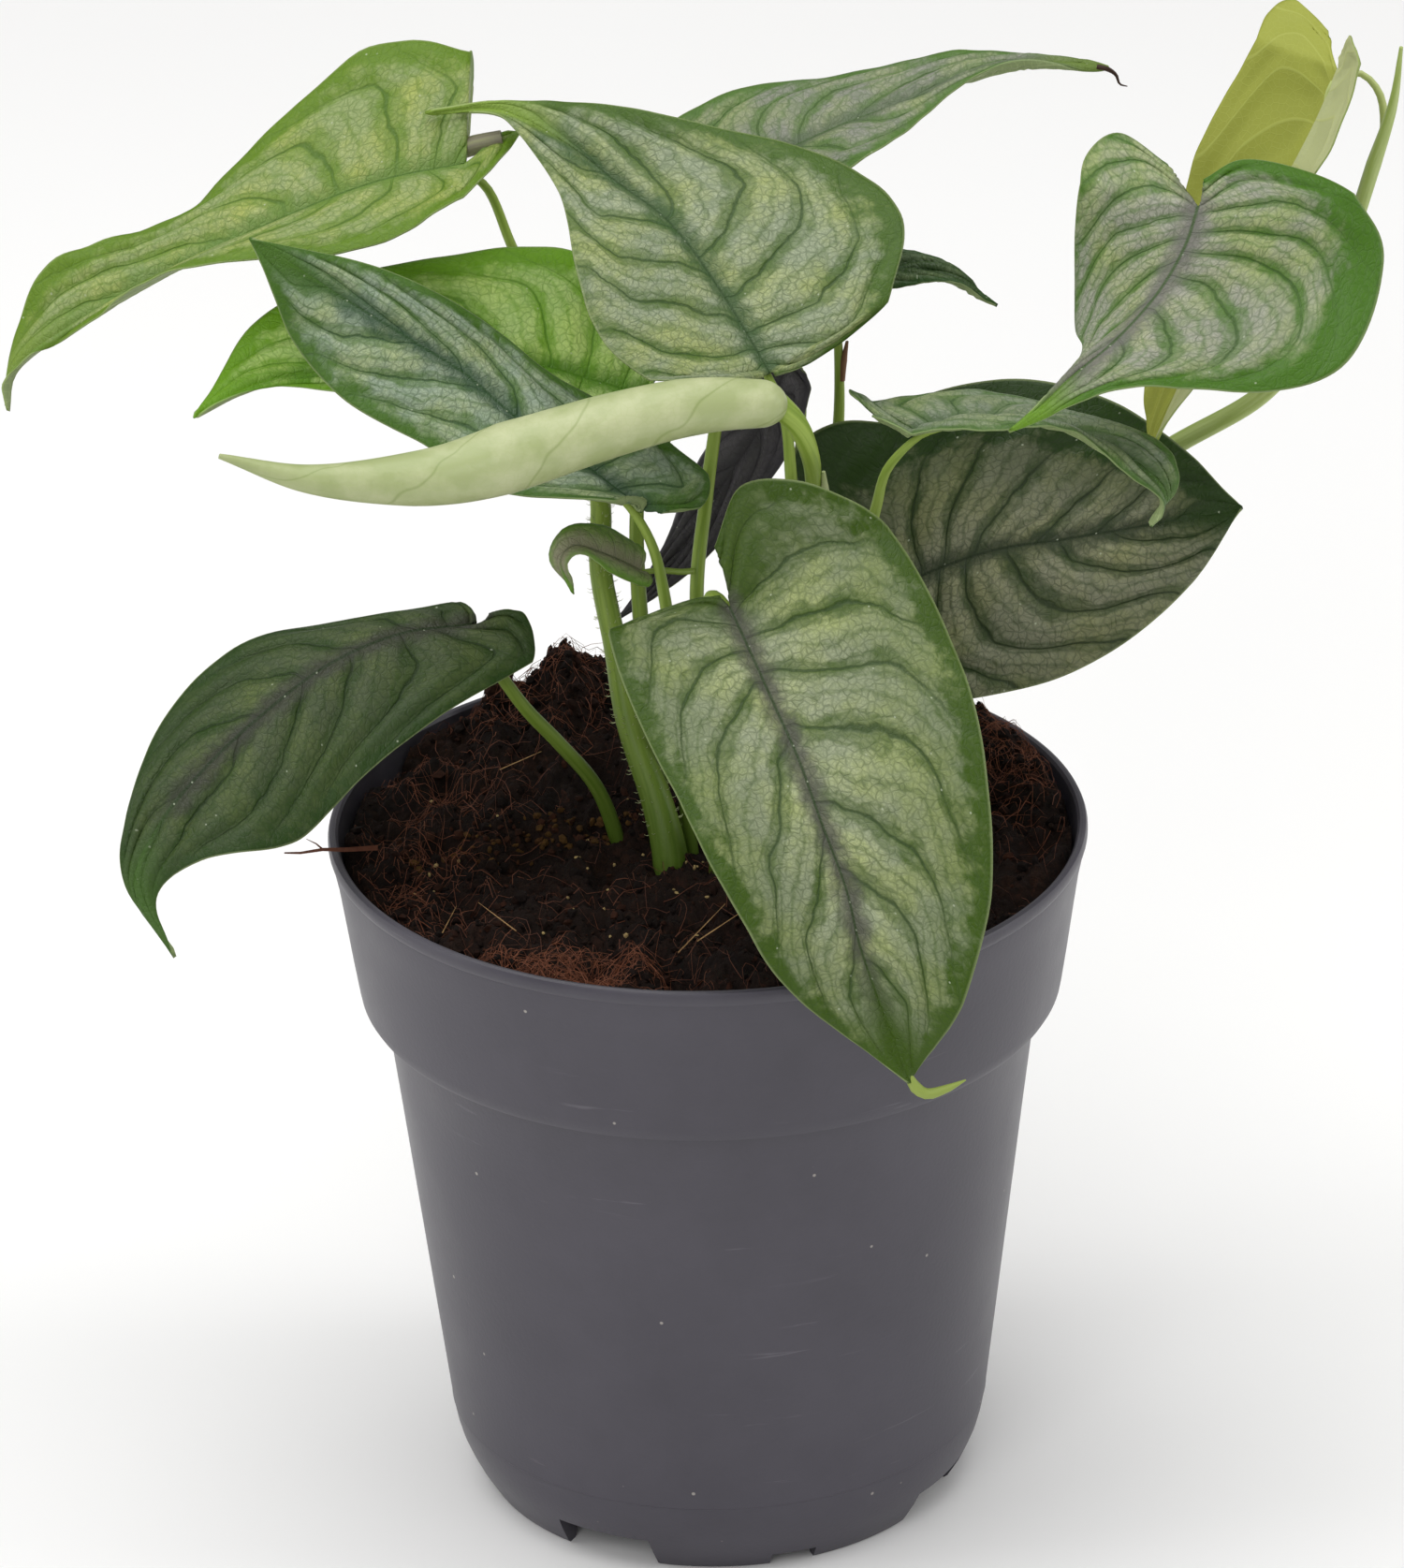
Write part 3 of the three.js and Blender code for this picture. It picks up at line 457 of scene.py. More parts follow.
def pebbles(lumps):
    """Many small uneven lumps as one mesh, each given by its place, size and tone."""
    piece = start("ico_sphere", subdivisions=1, radius=1)
    ball = np.array([v.co for v in piece.data.vertices])
    sides = np.array([f.vertices for f in piece.data.polygons])
    points, faces, tones = [], [], []
    for k, (place, size, tone) in enumerate(lumps):
        stretch = np.array([chance.uniform(0.6, 1.3) for _ in range(3)])
        jitter = np.array([chance.uniform(0.7, 1.25) for _ in range(len(ball))])[:, None]
        angle, axis = chance.uniform(0, 6.28), Vector((chance.random(), 0.5, chance.random()))
        turn = np.array(Matrix.Rotation(angle, 3, axis))
        points.append(ball * jitter * stretch @ turn.T * size + place)
        faces.append(sides + k * len(ball))
        tones += [tone] * sides.size
    bpy.data.meshes.remove(piece.data)
    return bulk("lumps", np.vstack(points), np.vstack(faces).tolist(), tones)


lumps = []
# Each heap by its share of the crumbs, its centre and its spread, and the same for the tufts of fibre
CRUMB_HEAPS = [
    (0.4, (0, 0), None), (0.15, (50, 28), (8, 10)), (0.2, (-24, 44), (14, 8)), (0.15, (-40, -22), (12, 12)),
    (0.1, (0, -38), (20, 10)),
]
for part, centre, spread in CRUMB_HEAPS:
    for x, y in scattered(int(CRUMBS * part), centre, spread):
        size = CRUMB_LEAST + CRUMB_SPAN * chance.random() ** 3
        lift = chance.uniform(-0.3, 0.6) * size
        lumps.append(((x, y, on_bed(x, y) + lift), size, 0.45 * chance.random() ** 3))
for k in range(MOSS_CRUMBS):
    along = chance.random()
    x = MOSS_START[0] + MOSS_RUN[0] * along + chance.gauss(0, 1.6)
    y = MOSS_START[1] + MOSS_RUN[1] * along + chance.gauss(0, 1.8)
    lift, size, tone = chance.uniform(0, 1.0), chance.uniform(0.25, 0.8), chance.uniform(0.4, 0.8)
    lumps.append(((x, y, on_bed(x, y) + lift), size, tone))
for x, y in scattered(SAND_GRAINS, (-8, -14), (18, 14)):
    lumps.append(((x, y, on_bed(x, y) + 0.3), chance.uniform(0.2, 0.42), SAND_TONE))
crumbs = pebbles(lumps)

# Peat crumb, moss and sand in one material, told apart by each crumb's tone
crumb_peat, tree = new_material("peat_crumb")
spot = add(tree, "TexCoord", out=3)
tone = add(tree, "SeparateXYZ", {0: add(tree, "UVMap", uv_map="tone")})
grain = add(tree, "TexNoise", {"Vector": spot, "Scale": 700, "Detail": 4})
dark = add(tree, "Mix", {0: tone, 6: shade("#0D0807"), 7: shade("#5E3420")}, **BLEND)
dark = add(tree, "Mix", {0: grain, 6: dark, 7: shade("#150D0A")}, **BLEND)
mossy = add(tree, "MapRange", {0: tone, 1: 0.5, 2: 0.6})
moss = add(tree, "Mix", {0: grain, 6: shade("#22150A"), 7: shade("#5E431F")}, **BLEND)
dark = add(tree, "Mix", {0: mossy, 6: dark, 7: moss}, **BLEND)
sandy = add(tree, "MapRange", {0: tone, 1: 0.85, 2: 0.9})
dark = add(tree, "Mix", {0: sandy, 6: dark, 7: shade("#A08A5E")}, **BLEND)
rough = add(tree, "MapRange", {0: grain, 1: 0, 2: 1, 3: 0.85, 4: 1.0})
coat(tree, dark, rough, grain, 0.8, 0.6, {"Specular IOR Level": 0.15})
crumbs.data.materials.append(crumb_peat)
settle(crumbs, "peat_crumbs", "peat", "soil")

# Coir in the mix: reddish coconut fibres as fine as hair, matted in tufts at the front left, at the left
# and on the heaps, with a few straws and one twig that sticks out over the rim.
FIBRE_POINTS = 6
STRAW_POINTS = 5
STRAW_RADIUS, STRAW_TONE = 0.13, 0.95
TWIG_TONE = 0.3


def unit(vectors):
    """The same vectors at length one."""
    return vectors / np.linalg.norm(vectors, axis=-1, keepdims=True)


def threads(strands, sides=3):
    """Many thin tapering threads as one mesh, each given by its path, thickness and tone."""
    points, faces, tones = [], [], []
    for path, radius, tone in strands:
        path = np.asarray(path, float)
        ahead = np.gradient(path, axis=0)
        arm = unit(np.cross(ahead, (0.31, 0.22, 0.92)))
        across = np.cross(ahead, arm)
        across /= np.linalg.norm(across, axis=1, keepdims=True)
        first, last = len(points), len(path) - 1
        for k, spot in enumerate(path):
            for side in range(sides):
                angle = 2 * math.pi * side / sides
                swing = arm[k] * math.cos(angle) + across[k] * math.sin(angle)
                points.append(spot + radius * (1 - 0.7 * k / last) * swing)
        for k in range(last):
            for side in range(sides):
                a, b = (first + k * sides + (side + step) % sides for step in (0, 1))
                faces.append((a, b, b + sides, a + sides))
        faces.append(tuple(first + side for side in reversed(range(sides))))
        faces.append(tuple(first + last * sides + side for side in range(sides)))
        tones += [tone] * (last * sides * 4 + 2 * sides)
    return bulk("threads", np.array(points), faces, tones)


strands = []
FIBRE_TUFTS = [
    (420, (0, 0), None, 0.3), (330, (-24, -47), (9, 3.5), 0.65), (160, (-46, -16), (6, 12), 0.5),
    (260, (50, 26), (6, 11), 0.6), (190, (-28, 44), (12, 7), 0.55), (100, (-44, 18), (8, 9), 0.5),
]
for count, centre, spread, tone in FIBRE_TUFTS:
    for x, y in scattered(count, centre, spread):
        heading, turning = chance.uniform(0, 2 * math.pi), chance.gauss(0, 0.45)
        step, arch = chance.uniform(0.5, 2.1), chance.uniform(0.1, 2.2)
        path = []
        for k in range(FIBRE_POINTS):
            rise = arch * math.sin(math.pi * k / (FIBRE_POINTS - 1)) + 0.25
            near = min(1, REACH / max(1, math.hypot(x, y)))
            path.append((x * near, y * near, on_bed(x * near, y * near) + rise))
            x, y = x + step * math.cos(heading), y + step * math.sin(heading)
            heading += turning
        strands.append((path, chance.uniform(0.035, 0.085), tone + chance.uniform(-0.25, 0.12)))
# Each straw by its lower end, its heading and its length
STRAWS = [
    ((-42, -30), 1.2, 7), ((-5, -40), 0.9, 12), ((-2, -38), 0.6, 10), ((-30, -34), 2.4, 8),
    ((-33, 20), 0.3, 7),
]
for (x, y), heading, long in STRAWS:
    across, up = math.cos(heading) * long / 4, math.sin(heading) * long / 4
    foot = on_bed(x, y) + 0.4
    path = [(x + across * k, y + up * k, foot + 0.3 * k * long / 4) for k in range(STRAW_POINTS)]
    strands.append((path, STRAW_RADIUS, STRAW_TONE))
TWIG = [(-52, -8, 114.5), (-57, -9.5, 115), (-60.5, -10.5, 115.6), (-64, -11, 115.3), (-66.5, -11.5, 115.6)]
strands.append((TWIG, 0.5, TWIG_TONE))
strands.append(([TWIG[2], (-61.5, -10.5, 116.6), (-63, -10.4, 117.4)], 0.2, TWIG_TONE))
fibres = threads(strands)

# Coconut fibre and straw, told apart by tone
coir, tree = new_material("coconut_fibre")
tone = add(tree, "SeparateXYZ", {0: add(tree, "UVMap", uv_map="tone")})
spot = add(tree, "TexCoord", out=3)
grain = add(tree, "TexNoise", {"Vector": spot, "Scale": 900, "Detail": 2})
red = add(tree, "Mix", {0: tone, 6: shade("#3A1A0E"), 7: shade("#A8603A")}, **BLEND)
straw = add(tree, "MapRange", {0: tone, 1: 0.75, 2: 0.95})
red = add(tree, "Mix", {0: straw, 6: red, 7: shade("#C09A62")}, **BLEND)
red = add(tree, "Mix", {0: grain, 6: red, 7: shade("#4A2616")}, **BLEND)
rough = add(tree, "MapRange", {0: grain, 1: 0, 2: 1, 3: 0.6, 4: 0.9})
coat(tree, red, rough, grain, 0.3, 0.2)
fibres.data.materials.append(coir)
settle(fibres, "coir_fibres", "peat", "soil")

# Leaf and stem making. A leaf is one blade on one petiole, soft green tissue about half a millimetre
# thick: the blade hangs on its midrib, and the petiole runs on under it as a raised rib.
# The first leaf is the largest, top left, on the thick main stem of the plant.
OUTLINE = np.array([
    [0.16, -0.10, 0.00], [0.50, -0.16, 0.02], [0.84, -0.07, 0.05], [0.98, 0.08, 0.10], [1.00, 0.24, 0.17],
    [0.93, 0.40, 0.26], [0.78, 0.56, 0.37], [0.58, 0.70, 0.49], [0.35, 0.83, 0.64], [0.14, 0.93, 0.82],
    [0.00, 1.00, 1.00],
])
LOBE_REACH = 0.16
LAST_STATION = 0.8
VEIN_SWEEP = 1.3
BELLY = 0.6
BLADE_THICK = 0.6
LATERALS = 8
ROOT_DEPTH = 1.25
DRIP = 0.07
SWEEP = 0.5
CRINKLE = 0.35
QUILT = 0.3
GROOVE_WIDE, GROOVE_DEEP = 1.3, 0.45
EDGE_THINNING = 0.55
STALK_RING = 1.6
STALK_RADII = [1.3, 1.05]
# Where the petiole runs in under the midrib: shares of the rib, and of the depth and width it has there
ROOT_STATIONS, ROOT_SHARES = (0.03, 0.1, 0.2), (1.0, 0.8, 0.5)
ROOT_TAPER, ROOT_END = (0.9, 0.65), 0.3
# The powers of the distance that space a curve's knots
CENTRIPETAL, EVEN = 0.25, 0.0


def smooth(value, low, high):
    """Zero below low, one above high, and a soft slope between."""
    share = np.clip((value - low) / (high - low), 0, 1)
    return share * share * (3 - 2 * share)


def spline(points, at, power):
    """Points at shares of a Catmull-Rom curve through the given ones."""
    points = np.asarray(points, float)
    points = np.vstack([2 * points[0] - points[1], points, 2 * points[-1] - points[-2]])
    place = np.clip(np.asarray(at, float), 0, 1) * (len(points) - 3)
    k = np.minimum(place.astype(int), len(points) - 4)
    w = (place - k)[..., None]
    a, b, c, d = (points[k + i] for i in range(4))
    legs = ((a, b), (b, c), (c, d))
    ab, bc, cd = (np.maximum(((q - p) ** 2).sum(-1, keepdims=True), 1e-9) ** power for p, q in legs)
    first = ((b - a) / ab - (c - a) / (ab + bc) + (c - b) / bc) * bc
    last = ((c - b) / bc - (d - b) / (bc + cd) + (d - c) / cd) * bc
    return b + first * w + (3 * (c - b) - 2 * first - last) * w ** 2 + (2 * (b - c) + first + last) * w ** 3


def along_curve(points, at):
    """Points and unit tangents at even shares of a curve's length."""
    steps = np.linspace(0, 1, 201)
    legs = np.diff(spline(points, steps, CENTRIPETAL), axis=0)
    walked = np.concatenate([[0], np.cumsum(np.linalg.norm(legs, axis=1))])
    share = np.interp(np.asarray(at, float) * walked[-1], walked, steps)
    ahead = spline(points, share + 1e-4, CENTRIPETAL) - spline(points, share - 1e-4, CENTRIPETAL)
    return spline(points, share, CENTRIPETAL), unit(ahead), walked[-1]


def place_grid(mesh, points):
    """Moves a grid's vertices to places in millimetres, and gives back each face corner's vertex."""
    mesh.vertices.foreach_set("co", (points * MM).ravel())
    corners = np.zeros(len(mesh.loops), int)
    mesh.loops.foreach_get("vertex_index", corners)
    return corners


def make_blade(leaf, rows, columns):
    """The blade as a thin solid shell: vein phase, reach and flat millimetres go into its UV maps."""
    left, right = np.asarray(leaf["left"], float), np.asarray(leaf["right"], float)
    drip, (wave, count, phase) = leaf.get("drip", DRIP), leaf["wave"]
    outline = OUTLINE.copy()
    stretch = (1 - drip) / OUTLINE[-2, 1]
    outline[:-1, 1] = np.where(outline[:-1, 1] > 0, outline[:-1, 1] * stretch, outline[:-1, 1])
    outline[:-1, 2] *= stretch
    piece = start("grid", x_subdivisions=2 * columns, y_subdivisions=rows, size=2)
    wide = 2 * columns + 1
    row, column = np.divmod(np.arange((rows + 1) * wide), wide)
    s, t = row / rows, np.abs(column - columns) / columns
    side = np.sign(column - columns)
    margin = spline(outline, s, EVEN)
    x = np.maximum(margin[:, 0], 0) * t
    y = margin[:, 2] + (margin[:, 1] - margin[:, 2]) * t ** VEIN_SWEEP
    here = np.clip(y, 0, 1)
    place, ahead, length = along_curve(leaf["rib"], here)
    station = np.clip(here / LAST_STATION, 0, 1)
    halves = [spline(half, station, EVEN) for half in (left, right)]
    half = np.where(side[:, None] < 0, halves[0], halves[1])
    up = unit(np.cross(halves[1] - halves[0], ahead))
    lobe = np.where(side[:, None] < 0, leaf["lobes"][0], leaf["lobes"][1])
    point = place + half * x[:, None] + lobe * np.maximum(-y / LOBE_REACH, 0)[:, None]
    ripple = wave * t ** 3 * np.sin(2 * math.pi * (count * s + phase + 0.37 * (side < 0)))
    crinkle = np.array([noise.noise(Vector((22 * p, 3 * q + phase * 40, 0))) for p, q in zip(s, side)])
    ripple = ripple + leaf.get("crinkle", CRINKLE) * crinkle * t ** 4 * (1 - smooth(s, 0.9, 1))
    swell = BELLY * 4 * x * (1 - x) * np.minimum(1, 4 * (1 - here))

    # Side veins sweep forward to the tip and turn up before the margin, and slow waves make them uneven
    def vein_phase(which):
        bend = leaf.get("sweep", SWEEP) * t ** 1.3 + 0.7 * smooth(t, 0.6, 0.95)
        drift = 0.2 * np.sin(5.1 * s + 3.7 * t + which * 2.0 + phase * 9) + 0.1 * np.sin(17 * s + phase * 31)
        return leaf.get("laterals", LATERALS) * s + 0.42 * (which > 0) - bend + drift

    from_vein = np.abs((vein_phase(side) + 0.5) % 1 - 0.5)
    quilt = np.cos(2 * math.pi * from_vein) + 0.8 * np.exp(-(from_vein / 0.07) ** 2)
    quilt *= smooth(t, 0.03, 0.22) * (1 - smooth(t, 0.82, 0.98)) * (1 - smooth(s, 0.8, 1))
    flat_x = x * np.linalg.norm(half, axis=1)
    groove = np.exp(-(flat_x / GROOVE_WIDE) ** 2) * (1 - smooth(s, 0.85, 1))
    relief = -leaf.get("quilt", QUILT) * quilt - GROOVE_DEEP * groove
    point = point + up * (ripple + swell + relief)[:, None]
    point[row == rows] = along_curve(leaf["rib"], 1.0)[0]
    mesh = piece.data
    loops = place_grid(mesh, point)
    face_side = np.repeat(np.sign(column[loops].reshape(-1, 4).mean(1) - columns), 4)
    phases = np.where(face_side < 0, vein_phase(-1)[loops], vein_phase(1)[loops])
    uv_layer(mesh, "veins", np.column_stack([phases, t[loops] * face_side]))
    uv_layer(mesh, "flat", np.column_stack([flat_x[loops] * face_side, y[loops] * length]))
    uv_layer(mesh, "zone", np.column_stack([s[loops], t[loops]]))
    thin = piece.vertex_groups.new(name="thickness")
    for v, value in enumerate(1 - EDGE_THINNING * smooth(t, 0.9, 1)):
        thin.add([v], float(value), "REPLACE")
    bpy.ops.object.mode_set(mode="EDIT")
    bpy.ops.mesh.select_all(action="SELECT")
    bpy.ops.mesh.remove_doubles(threshold=1e-6)
    bpy.ops.object.mode_set(mode="OBJECT")
    shell = piece.modifiers.new("shell", "SOLIDIFY")
    shell.thickness, shell.offset = BLADE_THICK * MM, 0
    shell.material_offset = 1
    shell.vertex_group = "thickness"
    for skin in (leaf["face"], leaf.get("under", silver_under)):
        mesh.materials.append(skin)
    apply_all(piece)
    piece.vertex_groups.clear()
    bpy.ops.object.shade_smooth()
    return piece


def make_stalk(points, radii, skin, sides=16, rings=None, shape=None):
    """A round tapering stalk along a curve, closed at both ends. A shape swells its section."""
    _, _, length = along_curve(points, [0.0])
    rings = rings or max(12, int(length / STALK_RING))
    piece = start("grid", x_subdivisions=sides, y_subdivisions=rings, size=2)
    row, column = np.divmod(np.arange((rings + 1) * (sides + 1)), sides + 1)
    steps = np.linspace(0, 1, rings + 1)
    centre, ahead, length = along_curve(points, steps)
    arms = [np.cross(ahead[0], (0.3, 0.9, 0.1))]
    for k in range(1, rings + 1):
        arms.append(arms[-1] - ahead[k] * np.dot(arms[-1], ahead[k]))
    arms = np.array([arm / np.linalg.norm(arm) for arm in arms])
    across = np.cross(ahead, arms)
    angle = 2 * math.pi * column / sides
    radius = np.interp(steps, np.linspace(0, 1, len(radii)), radii)[row]
    if shape is not None:
        radius = radius * shape(steps[row], column / sides)
    arm = arms[row] * np.cos(angle)[:, None] + across[row] * np.sin(angle)[:, None]
    point = centre[row] + arm * radius[:, None]
    mesh = piece.data
    loops = place_grid(mesh, point)
    uv_layer(mesh, "veins", np.column_stack([(column / sides)[loops], (steps[row])[loops]]))
    uv_layer(mesh, "flat", np.column_stack([(angle * radius)[loops], (steps[row] * length)[loops]]))
    uv_layer(mesh, "zone", np.column_stack([(steps[row])[loops], (column / sides)[loops]]))
    bpy.ops.object.mode_set(mode="EDIT")
    bpy.ops.mesh.select_all(action="SELECT")
    bpy.ops.mesh.remove_doubles(threshold=1e-7)
    bpy.ops.mesh.select_non_manifold(extend=False)
    bpy.ops.mesh.edge_face_add()
    bpy.ops.mesh.select_all(action="SELECT")
    bpy.ops.mesh.normals_make_consistent(inside=False)
    bpy.ops.object.mode_set(mode="OBJECT")
    mesh.materials.append(skin)
    bpy.ops.object.shade_smooth_by_angle(angle=math.radians(60))
    return piece


def petiole_path(leaf):
    """The petiole's own points and the three where it sinks into the blade under the midrib."""
    at = np.array(ROOT_STATIONS)
    place, ahead, _ = along_curve(leaf["rib"], at)
    left, right = (spline(leaf[side], at / LAST_STATION, EVEN) for side in ("left", "right"))
    up = unit(np.cross(right - left, ahead))
    sunk = leaf.get("root", ROOT_DEPTH) * np.array(ROOT_SHARES)[:, None]
    return np.vstack([leaf["stalk"], place - sunk * up])


def make_leaf(leaf, rows=96, columns=34):
    """A blade and its petiole as one piece."""
    thick = leaf.get("thick", STALK_RADII)
    count = len(leaf["stalk"])
    radii = np.interp(np.linspace(0, 1, count), np.linspace(0, 1, len(thick)), thick)
    radii = [*radii, *(thick[-1] * taper for taper in ROOT_TAPER), ROOT_END]
    stalk = make_stalk(petiole_path(leaf), radii, leaf.get("stem", green_stem))
    return join([make_blade(leaf, rows, columns), stalk])


# Living leaf, upper face: silvery fields between dark green veins, mottled from one mesh of the fine
# vein net to the next, a plain green margin and a waxy satin cuticle. The meshes are 1.2 mm wide.
TISSUE_IOR = 1.43
TISSUE = {"IOR": TISSUE_IOR, "Specular IOR Level": 0.3}
BRINK_TONE, SPECK_TONE = "#9DAA78", "#B4BCA4"
NET_MM = 1.2
FINE_NET_MM = 0.5
SPECK_MM = 3.2
# Cells laid out flat on the blade, and the net of the borders between them
FLAT = {"voronoi_dimensions": "2D"}
NET = {**FLAT, "feature": "DISTANCE_TO_EDGE"}


def upper_skin(name, silver, pale, green, vein, rib, tip=None, margin=0.84, fields=1.0, net=0.5,
               halo=3.4, base=0.0, outward=0.3, lean=0.0):
    """The upper face of one leaf in its own colours.

    The margin is where its plain rim begins, as a share of the reach from rib to edge, and lean moves it
    to one side, so one half shows more plain green than the other; on the low right leaf this is painted
    shade. Fields, net, halo, base and outward set how much shows of the silver, of the fine net,
    of the band along the rib, and of the plain green at the base and towards the edge.
    """
    made, tree = new_material(name)
    veins = add(tree, "UVMap", uv_map="veins")
    flat = add(tree, "UVMap", uv_map="flat")
    phase = add(tree, "SeparateXYZ", {0: veins})
    reach = add(tree, "Math", {0: phase.node.outputs[1]}, operation="ABSOLUTE")
    ribside = add(tree, "SeparateXYZ", {0: flat})
    ribside = add(tree, "Math", {0: ribside}, operation="ABSOLUTE")
    warp = add(tree, "TexNoise", {"Vector": flat, "Scale": 0.55, "Detail": 2}, 1)
    warp = add(tree, "VectorMath", {0: warp, 3: 1.7}, operation="SCALE")
    lain = add(tree, "VectorMath", {0: flat, 1: warp}, operation="ADD")
    cell = add(tree, "TexVoronoi", {"Vector": lain, "Scale": 1 / NET_MM}, 1, **FLAT)
    cell = add(tree, "SeparateXYZ", {0: cell})
    wide = add(tree, "TexVoronoi", {"Vector": lain, "Scale": 1 / NET_MM}, **NET)
    strong = add(tree, "TexNoise", {"Vector": flat, "Scale": 0.5, "Detail": 1})
    strong = add(tree, "MapRange", {0: strong, 1: 0.35, 2: 0.65, 3: 0.75 * net, 4: 1.15 * net})
    wide = add(tree, "MapRange", {0: wide, 1: 0.0, 2: 0.22, 3: 1, 4: 0}, **SOFT)
    wide = add(tree, "Math", {0: wide, 1: strong}, operation="MULTIPLY")
    thin = add(tree, "TexVoronoi", {"Vector": lain, "Scale": 1 / FINE_NET_MM}, **NET)
    thin = add(tree, "MapRange", {0: thin, 1: 0.0, 2: 0.2, 3: net * 0.5, 4: 0})
    nets = add(tree, "Math", {0: wide, 1: thin}, operation="MAXIMUM")
    drift = add(tree, "TexNoise", {"Vector": flat, "Scale": 0.1, "Detail": 3})
    drift = add(tree, "MapRange", {0: drift, 1: 0, 2: 1, 3: -0.34, 4: 0.34})
    bent = add(tree, "Math", {0: phase, 1: drift}, operation="ADD")
    off = add(tree, "Math", {0: bent, 1: 0.5}, operation="PINGPONG")
    blur = add(tree, "TexNoise", {"Vector": flat, "Scale": 0.35, "Detail": 4, "Roughness": 0.6})
    blur = add(tree, "MapRange", {0: blur, 1: 0.3, 2: 0.7, 3: -0.1, 4: 0.1})
    ragged = add(tree, "Math", {0: cell, 1: 0.05, 2: blur}, operation="MULTIPLY_ADD")
    near = add(tree, "Math", {0: off, 1: ragged}, operation="ADD")
    band = add(tree, "MapRange", {0: near, 1: 0.03, 2: 0.36, 3: 0.92, 4: 0}, **SOFT)
    vigour = add(tree, "TexNoise", {"Vector": flat, "Scale": 0.06, "Detail": 1})
    vigour = add(tree, "MapRange", {0: vigour, 1: 0.35, 2: 0.6, 3: 0.75, 4: 1.0})
    band = add(tree, "Math", {0: band, 1: vigour}, operation="MULTIPLY")
    line = add(tree, "MapRange", {0: off, 1: 0.008, 2: 0.045, 3: 0.7, 4: 0}, **SOFT)
    kink = add(tree, "TexNoise", {"Vector": flat, "Scale": 0.3, "Detail": 2})
    twigs = add(tree, "Math", {0: bent, 1: 3.0, 2: kink}, operation="MULTIPLY_ADD")
    twigs = add(tree, "Math", {0: twigs, 1: 0.5}, operation="PINGPONG")
    twigs = add(tree, "MapRange", {0: twigs, 1: 0.02, 2: 0.2, 3: 0.4, 4: 0}, **SOFT)
    cloud = add(tree, "TexNoise", {"Vector": flat, "Scale": 0.08, "Detail": 4, "Roughness": 0.6})
    cloud = add(tree, "MapRange", {0: cloud, 1: 0.42, 2: 0.62})
    colour = add(tree, "Mix", {0: cloud, 6: shade(silver), 7: shade(pale)}, **BLEND)
    dim = add(tree, "Math", {0: cell, 1: 0.12}, operation="MULTIPLY")
    patch = add(tree, "TexNoise", {"Vector": flat, "Scale": 0.14, "Detail": 4})
    patch = add(tree, "Math", {0: cell, 1: 0.12, 2: patch}, operation="MULTIPLY_ADD")
    patch = add(tree, "MapRange", {0: patch, 1: 0.52, 2: 0.78, 3: 1 - fields, 4: 1.35 - fields})
    # Lean tips the plain margin towards one half; on the low right leaf the darker half is painted shade
    tilted = add(tree, "Math", {0: phase.node.outputs[1], 1: lean, 2: reach}, operation="MULTIPLY_ADD")
    rimward = add(tree, "Math", {0: off, 1: -0.14, 2: tilted}, operation="MULTIPLY_ADD")
    rimward = add(tree, "Math", {0: ragged, 1: -0.9, 2: rimward}, operation="MULTIPLY_ADD")
    outer = add(tree, "MapRange", {0: rimward, 1: margin - 0.26, 2: margin}, **SOFT)
    plain = add(tree, "Math", {0: band, 1: outer}, operation="MAXIMUM")
    plain = add(tree, "Math", {0: plain, 1: patch}, operation="MAXIMUM")
    fade = add(tree, "MapRange", {0: outer, 1: 0, 2: 1, 3: 1, 4: 0.25})
    line = add(tree, "Math", {0: line, 1: fade}, operation="MULTIPLY")
    zone = add(tree, "SeparateXYZ", {0: add(tree, "UVMap", uv_map="zone")})
    lobe = add(tree, "Math", {0: ragged, 1: 0.5, 2: zone}, operation="MULTIPLY_ADD")
    lobe = add(tree, "MapRange", {0: lobe, 1: 0.1, 2: 0.34, 3: base, 4: 0}, **SOFT)
    plain = add(tree, "Math", {0: plain, 1: lobe}, operation="MAXIMUM")
    fading = add(tree, "Math", {0: ragged, 1: -1.5, 2: tilted}, operation="MULTIPLY_ADD")
    fading = add(tree, "MapRange", {0: fading, 1: 0.15, 2: 0.85, 3: 0, 4: outward})
    plain = add(tree, "Math", {0: plain, 1: fading}, operation="MAXIMUM")
    end = add(tree, "MapRange", {0: zone, 1: 0.82, 2: 0.95, 3: 0, 4: 1}, **SOFT)
    quiet = add(tree, "MapRange", {0: plain, 1: 0, 2: 1, 3: 0.9, 4: 0.45})
    nets = add(tree, "Math", {0: nets, 1: quiet}, operation="MULTIPLY")
    rib_band = add(tree, "Math", {0: blur, 1: 9.0, 2: ribside}, operation="MULTIPLY_ADD")
    rib_band = add(tree, "MapRange", {0: rib_band, 1: 0.2, 2: halo, 3: 0.85, 4: 0}, **SOFT)
    rib_line = add(tree, "MapRange", {0: ribside, 1: 0.12, 2: 0.42, 3: 0.8, 4: 0})
    brink = add(tree, "MapRange", {0: reach, 1: 0.985, 2: 0.998, 3: 0, 4: 0.45})
    grain = add(tree, "TexVoronoi", {"Vector": flat, "Scale": 1 / SPECK_MM}, **FLAT)
    sieve = add(tree, "TexVoronoi", {"Vector": flat, "Scale": 1 / SPECK_MM}, 1, **FLAT)
    sieve = add(tree, "MapRange", {0: add(tree, "SeparateXYZ", {0: sieve}), 1: 0.88, 2: 0.92})
    speck = add(tree, "MapRange", {0: grain, 1: 0.03, 2: 0.06, 3: 0.55, 4: 0})
    speck = add(tree, "Math", {0: speck, 1: sieve}, operation="MULTIPLY")
    layers = [
        (dim, green), (twigs, green), (plain, green), (nets, vein), (line, vein), (rib_band, rib),
        (rib_line, vein), (end, tip or green), (brink, BRINK_TONE), (speck, SPECK_TONE),
    ]
